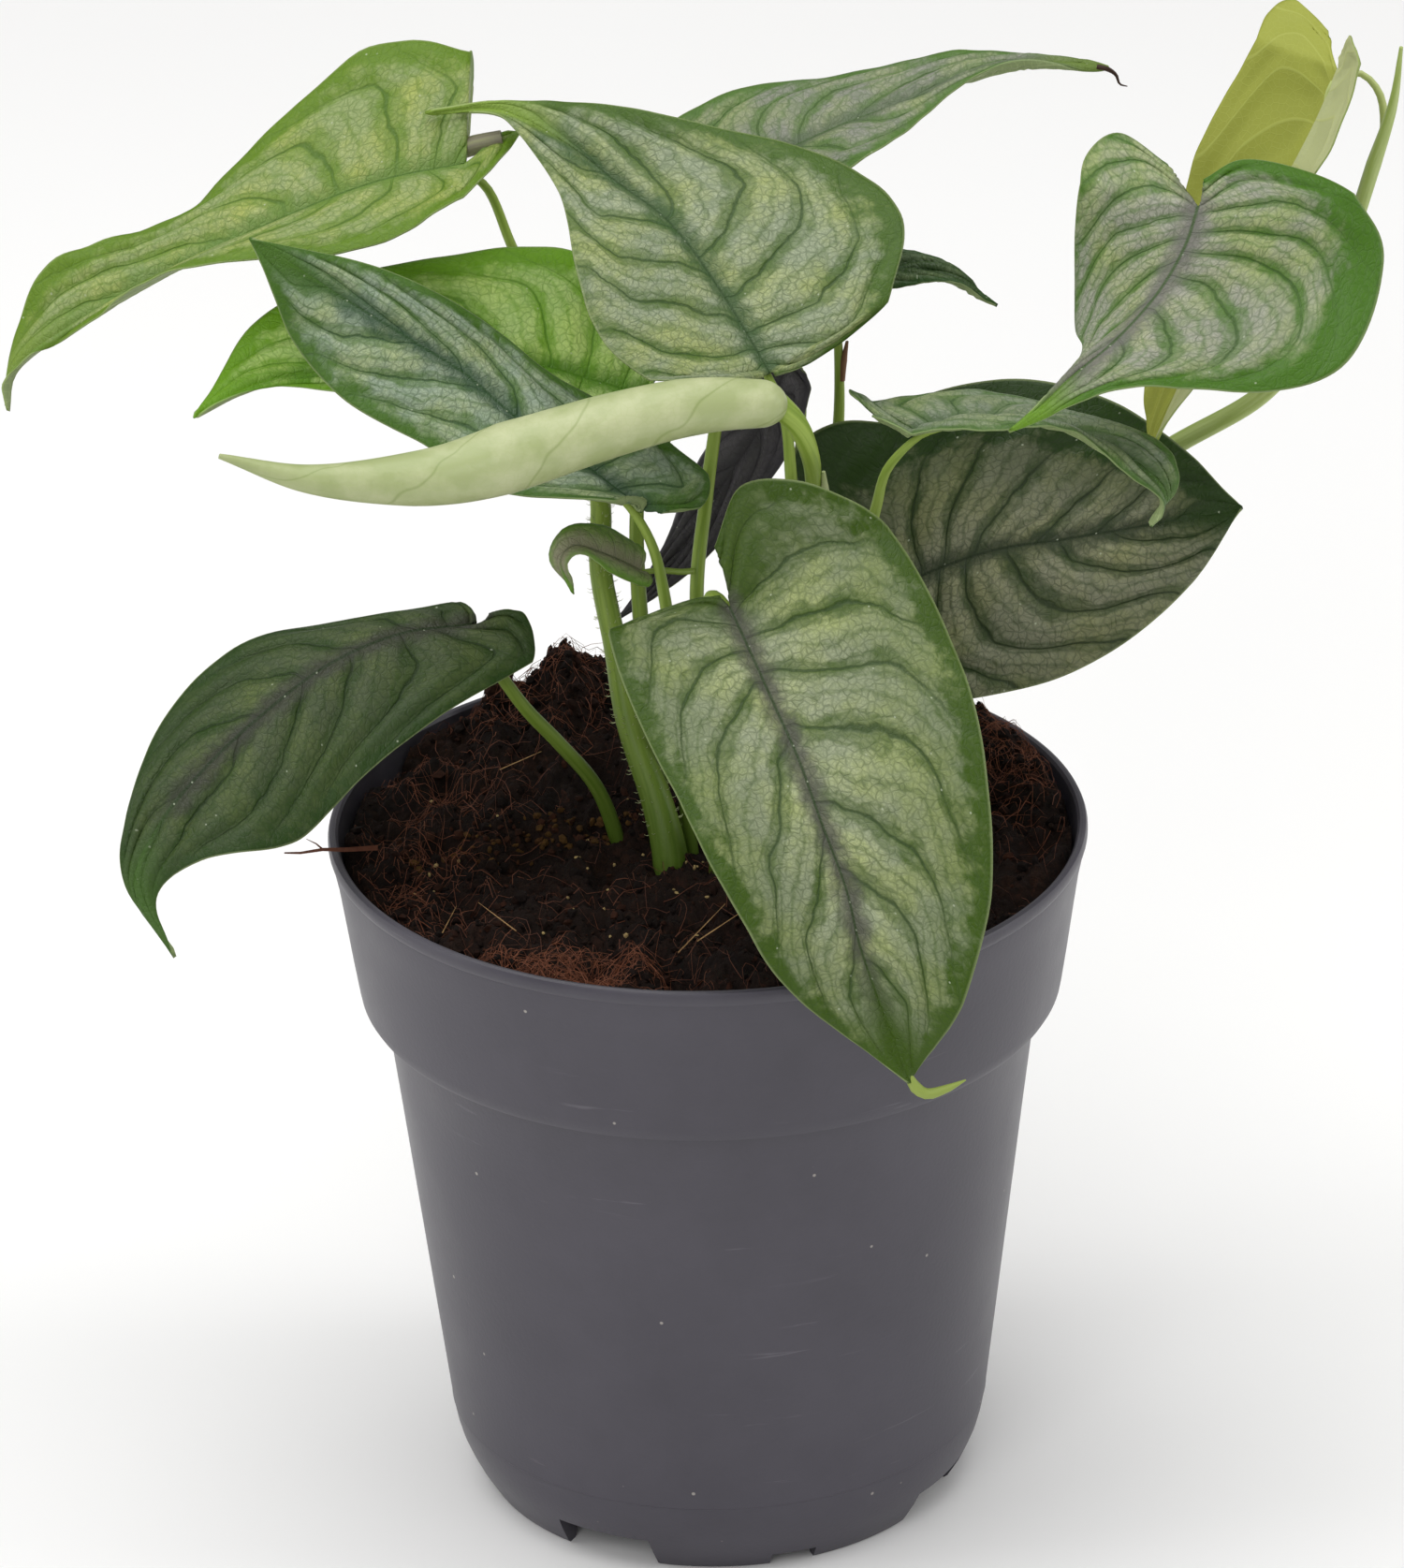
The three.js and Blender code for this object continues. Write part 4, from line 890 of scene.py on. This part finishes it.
    for share, tone in layers:
        colour = add(tree, "Mix", {0: share, 6: colour, 7: shade(tone)}, **BLEND)
    raised = add(tree, "Math", {0: nets, 1: line}, operation="ADD")
    raised = add(tree, "Math", {0: 1.0, 1: raised}, operation="SUBTRACT")
    wax = add(tree, "MapRange", {0: blur, 1: -0.1, 2: 0.1, 3: 0.36, 4: 0.48})
    coat(tree, colour, wax, raised, 0.5, 0.5, TISSUE)
    return made


# Living leaf, underside: paler and matt, with the veins standing out light and a thin net between them,
# and a paler painted sheen on one half where asked
def under_skin(name, tissue, vein, painted_sheen_half=None, show=1.0):
    """The underside of one leaf. One half may be painted paler as sheen, and show is how strongly its
    veins stand out.
    """
    made, tree = new_material(name)
    veins = add(tree, "UVMap", uv_map="veins")
    flat = add(tree, "UVMap", uv_map="flat")
    phase = add(tree, "SeparateXYZ", {0: veins})
    off = add(tree, "Math", {0: phase, 1: 0.5}, operation="PINGPONG")
    line = add(tree, "MapRange", {0: off, 1: 0.01, 2: 0.05, 3: 0.7 * show, 4: 0}, **SOFT)
    mesh_edge = add(tree, "TexVoronoi", {"Vector": flat, "Scale": 1 / NET_MM}, **NET)
    nets = add(tree, "MapRange", {0: mesh_edge, 1: 0.01, 2: 0.09, 3: 0.3 * show, 4: 0})
    nets = add(tree, "Math", {0: nets, 1: line}, operation="MAXIMUM")
    cloud = add(tree, "TexNoise", {"Vector": flat, "Scale": 0.08, "Detail": 4})
    dark = [c * 0.78 for c in shade(tissue)[:3]] + [1]
    colour = add(tree, "Mix", {0: cloud, 6: dark, 7: shade(tissue)}, **BLEND)
    if painted_sheen_half:
        # Painted sheen: the half on the plus side of the rib takes the paler tone, as the light on that side
        half = add(tree, "Math", {0: phase.node.outputs[1], 1: 0.0}, operation="GREATER_THAN")
        colour = add(tree, "Mix", {0: half, 6: colour, 7: shade(painted_sheen_half)}, **BLEND)
    colour = add(tree, "Mix", {0: nets, 6: colour, 7: shade(vein)}, **BLEND)
    matt = add(tree, "MapRange", {0: cloud, 1: 0, 2: 1, 3: 0.5, 4: 0.6})
    coat(tree, colour, matt, nets, 0.3, 0.4, TISSUE)
    return made


# Stem and petiole skin: smooth green epidermis over fibres, with faint streaks along its length, and
# painted shade near its foot
def stem_skin(name, light, dark, blush, blush_share=0.0, foot="#35500F"):
    """The skin of a stem or petiole, flushed in places, and darker or lighter near its foot.

    The default foot tone is dark: painted shade, where the leaves above shadow the stems low down.
    """
    made, tree = new_material(name)
    flat = add(tree, "UVMap", uv_map="flat")
    drawn = add(tree, "Mapping", {"Vector": flat, "Scale": (1, 0.05, 1)})
    streak = add(tree, "TexNoise", {"Vector": drawn, "Scale": 1.2, "Detail": 4})
    streak = add(tree, "MapRange", {0: streak, 1: 0.35, 2: 0.65})
    colour = add(tree, "Mix", {0: streak, 6: shade(dark), 7: shade(light)}, **BLEND)
    spot = add(tree, "TexCoord", out=3)
    flush = add(tree, "TexNoise", {"Vector": spot, "Scale": 45, "Detail": 2})
    flush = add(tree, "MapRange", {0: flush, 1: 0.5, 2: 0.7, 3: 0, 4: blush_share})
    colour = add(tree, "Mix", {0: flush, 6: colour, 7: shade(blush)}, **BLEND)
    # Painted shade: below 165 mm the skin goes over to the foot tone, most at 112 mm, as the shadow of the
    # leaves above
    height = add(tree, "SeparateXYZ", {0: spot}, 2)
    painted_foot_shade = add(tree, "MapRange", {0: height, 1: 0.112, 2: 0.165, 3: 0.8, 4: 0})
    colour = add(tree, "Mix", {0: painted_foot_shade, 6: colour, 7: shade(foot)}, **BLEND)
    pore = add(tree, "TexNoise", {"Vector": spot, "Scale": 2200, "Detail": 2})
    wax = add(tree, "MapRange", {0: streak, 1: 0, 2: 1, 3: 0.38, 4: 0.5})
    coat(tree, colour, wax, pore, 0.2, 0.2, TISSUE)
    return made


silver_under = under_skin("leaf_underside", "#8A9A68", "#A5B380")
green_stem = stem_skin("green_petiole", "#93A84E", "#748C32", "#7A4A38")
top_left = {
    "sweep": 0.8,
    "crinkle": 0.9,
    "quilt": 0.2,
    "rib": [
        [-36, 34, 213], [-50, 32, 211], [-69, 28, 205], [-86, 24, 198], [-99, 20, 192], [-107, 17, 186],
        [-108, 14, 181],
    ],
    "left": [[0, -10, -3], [4, -14, -3], [-3, -14, 0], [-5, -11, 0], [0, -8, 1]],
    "right": [[1, 15, 15], [2, 18, 15], [-2, 13, 9], [-3, 10, 6], [-11, 16, 13]],
    "lobes": [[9, 10, 5], [1, 8, 0]],
    "wave": [1.4, 3, 0.1],
    "stalk": [
        [-6, -9, 98], [-6, -9, 112], [-8, -6, 121], [-12, -1, 132], [-14, 5, 143], [-16, 11, 153],
        [-16, 18, 163], [-20, 26, 172], [-24, 34, 186], [-29, 38, 197], [-33, 39, 207],
    ],
    "thick": [2.6, 2.9, 2.5, 2.1, 1.9, 1.8, 1.7, 1.4, 1.1, 0.9, 0.8],
    "face": upper_skin(
        "leaf_upper_lime", "#96A270", "#A6AE60", "#5C7A1A", "#3F5F16", "#63803A",
        tip="#6E8632", base=0.4,
    ),
}
settle(make_leaf(top_left), "top_left_leaf", "leaf_silver", "leaf_top_left")

# Middle leaf: a broad silvery leaf whose long tip points to the left, over the middle of the plant.
# Soft waxy tissue on a petiole that comes up from the middle of the peat.
middle = {
    "drip": 0.15,
    "rib": [
        [11, -2, 192], [4, 8, 201], [-4, 18, 209], [-12, 25, 213], [-19, 30, 217], [-30, 38, 220],
        [-42, 38, 220],
    ],
    "left": [[-20, -10, 3], [-19, -14, 0], [-16, -15, -2], [-9, -9, -3], [-7, -7, -3]],
    "right": [[20, 7, 9], [28, 8, 9], [28, 8, 8], [17, 8, 8], [12, 6, 9]],
    "lobes": [[3, -2, 0], [-4, -2, -4]],
    "wave": [0.8, 3, 0.3],
    "stalk": [[6, -4, 100], [10, -5, 135], [14, -6, 155], [14, -6, 176], [13, -4, 186]],
    "face": upper_skin(
        "leaf_upper_silver", "#98A186", "#A4AD72", "#435E1C", "#29421A", "#3A5430",
        margin=0.95, tip="#7C963C", outward=0.15, lean=0.1,
    ),
}
settle(make_leaf(middle), "middle_leaf", "leaf_silver", "leaf_middle")

# Back right leaf: a silvery leaf seen nearly edge on, with a long tip that has dried brown at its end.
# Soft tissue, in one with its petiole, which leans back from the middle of the peat.
back_right = {
    "rib": [
        [3, 36, 207], [14, 41, 211], [24, 45, 214], [34, 49, 216], [44, 51, 219], [56, 51, 221],
        [66, 49, 220.4],
    ],
    "left": [[-6, 15, 6], [-5, 14, 5], [-4, 14, 2], [-1, 12, 1], [0, 12, 0]],
    "right": [[6, -12, -3], [7, -12, -1], [5, -11, 0], [1, -8, 1], [0, -4, 1]],
    "lobes": [[-5, 8, 1], [-5, -4, -2]],
    "wave": [0.7, 3, 0],
    "stalk": [[2, 2, 100], [-1, 6, 150], [1, 14, 165], [4, 24, 184], [4, 33, 200]],
    "face": upper_skin(
        "leaf_upper_grey", "#8C8C82", "#929A70", "#4A6A28", "#3D5628", "#55624A",
        margin=0.92, tip="#5F7430", outward=0.15,
    ),
}
settle(make_leaf(back_right), "back_right_leaf", "leaf_silver", "leaf_back_right")

# Small back leaf: a narrow dark leaf of soft tissue behind the middle one, arched over at the end of a
# long thin petiole and in one with it.
small_back = {
    "rib": [[21, 24, 196], [27, 26, 197], [34, 26, 197], [40, 24, 196], [47, 22, 192]],
    "left": [[-1, 5, 1], [-1, 5, 1], [0, 5, 1]],
    "right": [[1, -4, -2], [1, -4, -2], [0, -4, 0]],
    "lobes": [[-3, 2, 0], [-3, -2, 0]],
    "wave": [0, 0, 0],
    "stalk": [[9, 7, 100], [19, 20, 150], [22, 27, 171], [22, 27, 188]],
    "thick": [1.3, 1.1],
    "face": upper_skin(
        "leaf_upper_dark", "#5C684C", "#66744C", "#284616", "#223A18", "#2C4020", fields=0.8,
    ),
}
settle(make_leaf(small_back, 60, 16), "small_back_leaf", "leaf_dark", "leaf_small_back")

# Left leaf: a cool silver leaf with strong veins, its tip raised to the left. Soft tissue that hangs on
# its midrib, with the petiole grown into its underside.
left_leaf = {
    "rib": [
        [-9, -8, 172], [-18, -4, 178], [-28, 0, 184], [-36, 4, 190], [-47, 6, 197], [-58, 8, 204],
        [-69, 8, 212],
    ],
    "left": [[-5, -9, 5], [-9, -8, -3], [-8, -8, -8], [-12, -9, -12], [-15, -8, -17]],
    "right": [[11, 11, 1], [6, 10, 3], [9, 9, 8]],
    "lobes": [[2, 3, 0], [3, -2, -2.6]],
    "wave": [0.6, 3, 0.2],
    "stalk": [[-2, -4, 100], [-4, -4, 129], [-6, -6, 156], [-8, -7, 166]],
    "face": upper_skin(
        "leaf_upper_cool", "#97A592", "#A2AE80", "#42641E", "#264420", "#324A36",
        margin=0.9, outward=0.15, base=1.0,
    ),
}
settle(make_leaf(left_leaf), "left_leaf", "leaf_silver", "leaf_left")

# Bright leaf: a younger, fresh green leaf behind the left one, its tones lifted as painted light for the
# light that shines through it. Its tissue is soft, and it stands on a thicker petiole that has grown in
# one with it.
bright = {
    "rib": [
        [-8, 24, 177], [-17, 24, 180], [-25, 23, 183], [-43, 21, 185], [-58, 18, 185], [-69, 15, 184],
        [-79, 12, 180],
    ],
    "left": [[0, -12, -8], [2, -14, -8], [0, -5, 0]],
    "right": [[2, 13, 12], [2, 15, 14], [-12, 15, 14]],
    "lobes": [[4, 2, 0], [2, 2, 1]],
    "wave": [1.2, 3, 0.15],
    "stalk": [[-6, -1, 100], [-8, 3, 126], [-10, 8, 148], [-10, 15, 163], [-8, 22, 173]],
    "thick": [1.6, 1.2],
    # Painted light: the silver and greens are lifted well above the leaf's own tones, for light shining
    # through it
    "face": upper_skin(
        "leaf_upper_bright", "#B4CC80", "#C4DA7C", "#6A981E", "#4C7A12", "#50801A",
        fields=0.95, outward=0.2,
    ),
}
settle(make_leaf(bright), "bright_leaf", "leaf_bright", "leaf_bright")

# Front leaf: a broad silvery heart that hangs down over the pot's rim towards the viewer. Soft tissue
# on a petiole that bends over at its top.
front = {
    "rib": [
        [4, -25, 163], [8, -34, 157], [11, -40, 152], [14, -46, 147], [17, -52, 140], [21, -58, 130],
        [23, -62, 122], [30, -68, 102],
    ],
    "left": [[26, 6, 12], [29, 4, 3], [33, -6, -7]],
    "right": [[-20, -6, -2], [-20, -7, -2], [-26, -6, -5]],
    "crinkle": 0.8,
    "lobes": [[-10, 4, 11], [3, 5, 1]],
    "wave": [0.9, 3, 0.4],
    "stalk": [[1, -11, 100], [2, -12, 132], [1, -15, 152], [1, -18, 161], [2.4, -21.5, 162.6]],
    "thick": [1.4, 1.4, 1.7, 1.7, 1.2],
    "face": upper_skin(
        "leaf_upper_front", "#989F82", "#A3AC74", "#374F08", "#233A12", "#4A4A42",
        margin=0.9, base=0.95, outward=0.6,
    ),
}
settle(make_leaf(front, 110, 40), "front_leaf", "leaf_silver", "leaf_front")

# Heart-shaped leaf: soft tissue on a petiole that springs from the climbing shoot on the right. It
# faces the viewer with its tip down to the left.
heart = {
    "drip": 0.13,
    "sweep": 1.7,
    "rib": [
        [77, -6, 220], [75, -9, 215], [71, -12, 209], [64, -17, 203], [58, -22, 200], [51, -28, 196],
        [47, -31, 194],
    ],
    "left": [[26, 4, 0], [32, 4, -3], [33, -7, -8], [27, -8, -6], [22, -4, -1]],
    "right": [[-19, 8, 1], [-15, 12, -3], [-10, 12, -8], [-3, 8, -3], [1, 4, 1]],
    "lobes": [[-5, 6, 4], [-2, 10, 6]],
    "wave": [0.8, 3, 0.6],
    "stalk": [[94, 23, 183], [91, 10, 190], [87, 0, 198], [82, -3, 208], [78, -5, 217]],
    "thick": [1.2, 1.0],
    "face": upper_skin(
        "leaf_upper_heart", "#A09F92", "#9FA874", "#416816", "#334F1E", "#66645F",
        margin=0.9, tip="#5F8420", halo=4.2, outward=0.2, lean=-0.14,
    ),
}
settle(make_leaf(heart), "heart_leaf", "leaf_silver", "leaf_heart")

# Young leaf: the newest open leaf of the shoot, soft olive yellow tissue seen from its underside. Its
# pale petiole carries on from the top of the shoot.
young = {
    "rib": [[100, 16, 233], [97, 16, 225], [91, 15, 213], [83, 14, 198], [76, 13, 183], [71, 12, 172]],
    "left": [[-14, 10, 2], [-13, 10, 0], [-14, 5, -6]],
    "drip": 0.03,
    "right": [[3, -12, 6], [3, -12, 6], [4, -9, 4]],
    "lobes": [[1, 12, 4], [-1, 3, 4]],
    "wave": [0.8, 3, 0.1],
    "quilt": 0.15,
    "stalk": [[103, 19, 208], [106, 18, 217], [107, 17, 223], [106, 17, 229], [103, 17, 232]],
    "thick": [1.0, 0.55],
    "root": 0.3,
    "face": upper_skin("leaf_upper_young", "#8F9858", "#99A35E", "#7A8A2A", "#6F7E30", "#808C42", net=0.3),
    # One half of the underside is painted paler, a painted sheen where it faces the light
    "under": under_skin("leaf_underside_young", "#999F42", "#AEB462", "#ABB080", 0.45),
    "stem": stem_skin("pale_petiole", "#B4BE80", "#A0AC64", "#A0AC64"),
}
settle(make_leaf(young), "young_leaf", "leaf_young", "leaf_young")

# Arching leaf: a narrow leaf of soft tissue that bends over in front of the low right one, on a
# petiole from the right of the peat's middle.
arching = {
    "rib": [
        [32, -8, 184], [40, -10, 187], [50, -13, 188], [59, -16, 187], [66, -19, 184], [71, -21, 178],
        [69, -23, 174],
    ],
    "left": [[-6, 14, 0], [-1, 14, -3], [9, 10, 0]],
    "right": [[1, -10, 3], [0, -10, 3], [-4, -8, 0]],
    "lobes": [[-5, 3, 1], [-6, 2, 3]],
    "wave": [0.9, 3, 0.5],
    "stalk": [[14, -4, 100], [19, -4, 137], [23, -4, 154], [27, -6, 170], [29, -8, 178]],
    "face": upper_skin(
        "leaf_upper_arching", "#878F7C", "#929C70", "#456426", "#345026", "#465A38", margin=0.92,
    ),
}
settle(make_leaf(arching), "arching_leaf", "leaf_silver", "leaf_arching")

# Low right leaf: an old, dark leaf of firmer tissue with deep furrows along its veins. Its upper half is
# painted darker, a painted shadow of the leaves above, by a lean of its plain green margin to that half.
# Its petiole leans out from the right of the peat's middle.
low_right = {
    "rib": [[31, 8, 150], [35, 9, 152], [46, 11, 155], [56, 12, 156], [71, 13, 158], [85, 12, 161]],
    "left": [[-3, 13, 25], [5, 12, 24], [7, 11, 23]],
    "right": [[-3, -9, -18], [1, -11, -21], [8, -10, -21]],
    "lobes": [[-15, 4, 5], [-12, -2, -2]],
    "wave": [1, 3, 0.2],
    "quilt": 0.4,
    "stalk": [[14, 3, 100], [16, 4, 120], [23, 5, 140], [28, 8, 146]],
    "face": upper_skin(
        "leaf_upper_old", "#82836C", "#868860", "#213808", "#172608", "#28331E",
        margin=0.96, outward=0.55, lean=-0.45,
    ),
}
settle(make_leaf(low_right), "low_right_leaf", "leaf_dark", "leaf_low_right")

# Low left leaf: an old, dark leaf of firmer tissue that hangs over the rim, its drip tip turned back to
# the right. Its petiole leans out from the left of the peat's middle.
low_left = {
    "drip": 0.14,
    "rib": [
        [-36, -8, 153], [-47, -11, 153], [-58, -15, 150], [-68, -19, 144], [-78, -23, 136],
        [-86, -27, 127], [-89, -30, 119], [-83, -36, 110],
    ],
    "left": [[10, -4, -5], [6, -8, -13], [9, -9, -16], [17, -9, -16], [19, -8, -5]],
    "right": [[-4, 7, 0], [-5, 9, 0], [-9, 14, 2], [-12, 13, 2], [-9, 11, 1]],
    "lobes": [[3, 4, 2], [2, 0, 0]],
    "wave": [1, 3, 0.7],
    "quilt": 0.35,
    "stalk": [[-12, 2, 100], [-17, -1, 120], [-23, -4, 130], [-28, -6, 137], [-34, -8, 147]],
    "face": upper_skin(
        "leaf_upper_low", "#515A40", "#5E6A3C", "#243C0C", "#192B0C", "#34352C",
        margin=0.92, fields=0.85, outward=0.8, tip="#3B591E",
    ),
}
settle(make_leaf(low_left), "low_left_leaf", "leaf_dark", "leaf_low_left")

# Tiny leaf: a curled side leaf of soft tissue on a stalk as thin as a thread, which runs to a petiole
# behind it.
tiny = {
    "rib": [[-9.6, -4.6, 160], [-15, -7, 164], [-20, -8, 166], [-22, -9, 164], [-20, -11, 159]],
    "left": [[1, -3, -2], [1, -3, -2], [3, -2, 0]],
    "right": [[-1, 4, 3], [-1, 4, 3], [-3, 3, 0]],
    "lobes": [[1, 0, 0], [1, 0, 0]],
    "wave": [0, 0, 0],
    "quilt": 0.05,
    "stalk": [[-1.6, 6.3, 154.6], [-3.4, 3, 156], [-6.5, -0.6, 158], [-9, -4, 159.4]],
    "thick": [0.5, 0.5],
    "face": upper_skin("leaf_upper_tiny", "#8A9466", "#96A766", "#5C8228", "#4F5C3A", "#857F6C", fields=0.6),
}
settle(make_leaf(tiny, 40, 12), "tiny_leaf", "leaf_bright", "leaf_tiny")

# Folded leaf: a withered leaf of dry tissue, grey purple, that hangs down between the petioles from
# its own petiole.
folded = {
    "rib": [[14, 22, 183], [10, 22, 173], [3, 21, 162], [-3, 20, 152], [-14, 17, 141]],
    "left": [[4, -3, -4], [4, -3, -4], [4, -3, -4]],
    "right": [[-4, 5, 0], [-5, 6, 0], [-4, 4, 0]],
    "lobes": [[1, 0, 1], [0, 0, 1]],
    "wave": [0, 0, 0],
    "stalk": [[5, 9, 100], [12, 20, 150], [16, 26, 169], [16, 26, 180]],
    "thick": [1.1, 0.9],
    "face": upper_skin("leaf_withered", "#4C484C", "#5A565A", "#3E3B40", "#302D32", "#3A373B", net=0.3),
    "under": under_skin("leaf_withered_under", "#524E53", "#68636A"),
}
settle(make_leaf(folded, 60, 14), "folded_leaf", "leaf_withered", "leaf_folded")

# Climbing shoot: a round green stem that runs up behind the low right leaf and forks at its top into a
# petiole and the sharp spike of a leaf that hasn't opened
shoot_stem = stem_skin("green_shoot", "#AAB878", "#90A254", "#8A6A50")
shoot = make_stalk(
    [
        [18, 1, 98], [19, 3, 117], [37, 17, 131], [55, 26, 147], [67, 28, 158], [74, 28, 164], [88, 25, 174],
        [94, 23, 182], [99, 22, 193], [103, 19, 209],
    ],
    [2.0, 2.0, 1.9, 1.8, 1.75, 1.7, 1.6, 1.5, 1.4, 1.2], shoot_stem,
)
spike = make_stalk(
    [[103, 19, 207], [105, 16, 216], [108, 12, 229], [109, 10, 239]], [1.2, 1.2, 0.8, 0.3], shoot_stem,
)
settle(join([shoot, spike]), "climbing_stem", "stem_green", "climbing_shoot")

# Rolled leaf: the newest leaf of the middle, still rolled into a pointed horn, waxy cream green, with
# its margin winding round it as a low ridge, and a dry bract where its petiole bends
ROLL_LIP = 0.22
LIP_TWIST = 0.45
MOUTH = 0.045
POINT = 0.93


def spiral(share, around):
    """The margin of the rolled blade winds round the horn, and its mouth is drawn in."""
    mouth = np.sqrt(np.clip(share / MOUTH, 0.02, 1) * (2 - np.clip(share / MOUTH, 0.02, 1)))
    ripple = 0.03 * np.sin(23 * share + 6.28 * around) * (share < POINT)
    return mouth * (1 + ripple + ROLL_LIP * ((around + LIP_TWIST * share) % 1 - 0.5))


# Leaf tissue that hasn't greened yet: cream green with a satin bloom and faint veins along the roll
horn_skin, tree = new_material("unrolled_leaf_tissue")
zone = add(tree, "SeparateXYZ", {0: add(tree, "UVMap", uv_map="zone")})
around = zone.node.outputs[1]
flat = add(tree, "UVMap", uv_map="flat")
cloud = add(tree, "TexNoise", {"Vector": flat, "Scale": 0.12, "Detail": 4})
cloud = add(tree, "MapRange", {0: cloud, 1: 0.4, 2: 0.62})
cream = add(tree, "Mix", {0: cloud, 6: shade("#9FA976"), 7: shade("#B4BA8E")}, **BLEND)
green_end = add(tree, "MapRange", {0: zone, 1: 0.55, 2: 1.0, 3: 0, 4: 0.5})
cream = add(tree, "Mix", {0: green_end, 6: cream, 7: shade("#8A985C")}, **BLEND)
wound = add(tree, "Math", {0: zone, 1: 2.2, 2: around}, operation="MULTIPLY_ADD")
sway = add(tree, "TexNoise", {"Vector": flat, "Scale": 0.06, "Detail": 2})
wound = add(tree, "Math", {0: sway, 1: 0.5, 2: wound}, operation="MULTIPLY_ADD")
wound = add(tree, "Math", {0: wound, 1: 2.0}, operation="MULTIPLY")
veins = add(tree, "Math", {0: wound, 1: 0.5}, operation="PINGPONG")
veins = add(tree, "MapRange", {0: veins, 1: 0.0, 2: 0.035, 3: 0.45, 4: 0}, **SOFT)
cream = add(tree, "Mix", {0: veins, 6: cream, 7: shade("#748640")}, **BLEND)
mesh_edge = add(tree, "TexVoronoi", {"Vector": flat, "Scale": 1 / NET_MM}, **NET)
nets = add(tree, "MapRange", {0: mesh_edge, 1: 0, 2: 0.12, 3: 0.16, 4: 0})
cream = add(tree, "Mix", {0: nets, 6: cream, 7: shade("#9AAA66")}, **BLEND)
satin = add(tree, "MapRange", {0: cloud, 1: 0, 2: 1, 3: 0.34, 4: 0.46})
coat(tree, cream, satin, cloud, 0.25, 0.8, {"IOR": TISSUE_IOR})

roll_stem = make_stalk(
    [
        [10, -1, 98], [14, -3, 135], [19, -6, 155], [17.5, -10, 176], [17, -12, 182], [15, -13, 188],
        [11, -14, 193],
    ],
    [1.4, 1.3, 1.2, 1.2, 1.2, 1.3, 2.0], green_stem,
)
horn = make_stalk(
    [
        [13.5, -13.5, 191.7], [2, -17, 193], [-13, -21, 192], [-27, -25, 189], [-44, -29, 187],
        [-60, -32, 189], [-73, -34, 194],
    ],
    [3.6, 4.5, 5.0, 5.4, 4.0, 2.2, 0.4], horn_skin, sides=72, rings=140, shape=spiral,
)
bract = make_stalk([[18.6, -9.5, 170], [19.2, -10.5, 174], [19, -11, 179]], [1.0, 0.8, 0.3], horn_skin)
settle(join([horn, roll_stem, bract]), "rolled_leaf", "leaf_rolled", "leaf_rolled")

# Curled tips: the front leaf's drip tip turns up to the right in a pale hook, and the back right leaf's
# has dried into a brown thread. Each is a thin stalk that begins inside the end of its blade.
# The hook lies low by the rim, so its foot tone, close to its own green, takes the place of the stems'
# painted shade
lime_tip = stem_skin("drip_tip", "#8E9C50", "#7A8C3A", "#7A8C3A", foot="#8A9A4A")
dry_tip = stem_skin("dried_tip", "#4A3424", "#2A1C14", "#2A1C14")
hook = make_stalk(
    [[29.6, -67, 103.5], [31, -67.6, 101], [32.6, -67.9, 100.1], [35.5, -68, 100.9], [38.6, -68, 102.4]],
    [0.5, 0.95, 0.85, 0.6, 0.12], lime_tip, sides=14,
)
settle(hook, "front_leaf_hook", "leaf_silver", "leaf_front")
thread = make_stalk(
    [[63.8, 49.2, 220.9], [65.5, 49, 220.5], [66.8, 49, 219.5], [67.4, 48.8, 218], [68.6, 48.8, 217.6]],
    [0.4, 0.42, 0.3, 0.2, 0.08], dry_tip, sides=10,
)
settle(thread, "dried_leaf_tip", "leaf_silver", "leaf_back_right")

# Hairs on the main stem: short pale bristles that give its middle length a rough, frosted look
HAIRS = 420
HAIR_LENGTH = (0.5, 1.1)
HAIR_ZONE = (0.12, 0.6)
HAIR_RADIUS, HAIR_TONE = 0.07, 0.9
stem_path, count = petiole_path(top_left), len(top_left["thick"])
strands = []
for k in range(HAIRS):
    share = chance.uniform(*HAIR_ZONE)
    spot, way, _ = along_curve(stem_path, [share])
    out = unit(np.cross(way[0], [chance.gauss(0, 1) for _ in range(3)]))
    radius = np.interp(share * (count + 2) / (count - 1), np.linspace(0, 1, count), top_left["thick"])
    long = chance.uniform(*HAIR_LENGTH)
    root = spot[0] + out * (radius - 0.1)
    path = [root, root + out * long * 0.6, root + out * long + way[0] * 0.25]
    strands.append((path, HAIR_RADIUS, HAIR_TONE))
hairs = threads(strands)

# Dry bristle, pale straw
bristle, tree = new_material("dry_bristle")
spot = add(tree, "TexCoord", out=3)
grain = add(tree, "TexNoise", {"Vector": spot, "Scale": 1200, "Detail": 2})
pale_straw = add(tree, "Mix", {0: grain, 6: shade("#8F9A66"), 7: shade("#B9BF95")}, **BLEND)
rough = add(tree, "MapRange", {0: grain, 1: 0, 2: 1, 3: 0.6, 4: 0.85})
coat(tree, pale_straw, rough, grain, 0.2, 0.1)
hairs.data.materials.append(bristle)
settle(hairs, "stem_bristles", "leaf_silver", "leaf_top_left")

# Bud and sheath: a reddish bud stub on the small back leaf's petiole, and the brown dry sheath that a
# leaf has left behind the middle leaf's tip
bud = make_stalk(
    [[22.6, 27.2, 177.5], [22.95, 27.1, 181], [23.5, 26.9, 184.3]], [0.5, 0.55, 0.25],
    stem_skin("reddish_bud", "#7E5A40", "#64452F", "#6A3A2C"), sides=12,
)
settle(bud, "bud_stub", "leaf_dark", "leaf_small_back")
sheath = make_stalk(
    [[-38.5, 37.5, 213.2], [-34, 37.6, 214.6], [-30, 37.6, 215.6]], [1.5, 1.6, 1.3],
    stem_skin("dry_sheath", "#8A8C66", "#6C6658", "#5E5058", 0.7), sides=16,
)
settle(sheath, "leaf_sheath", "leaf_silver", "leaf_top_left")
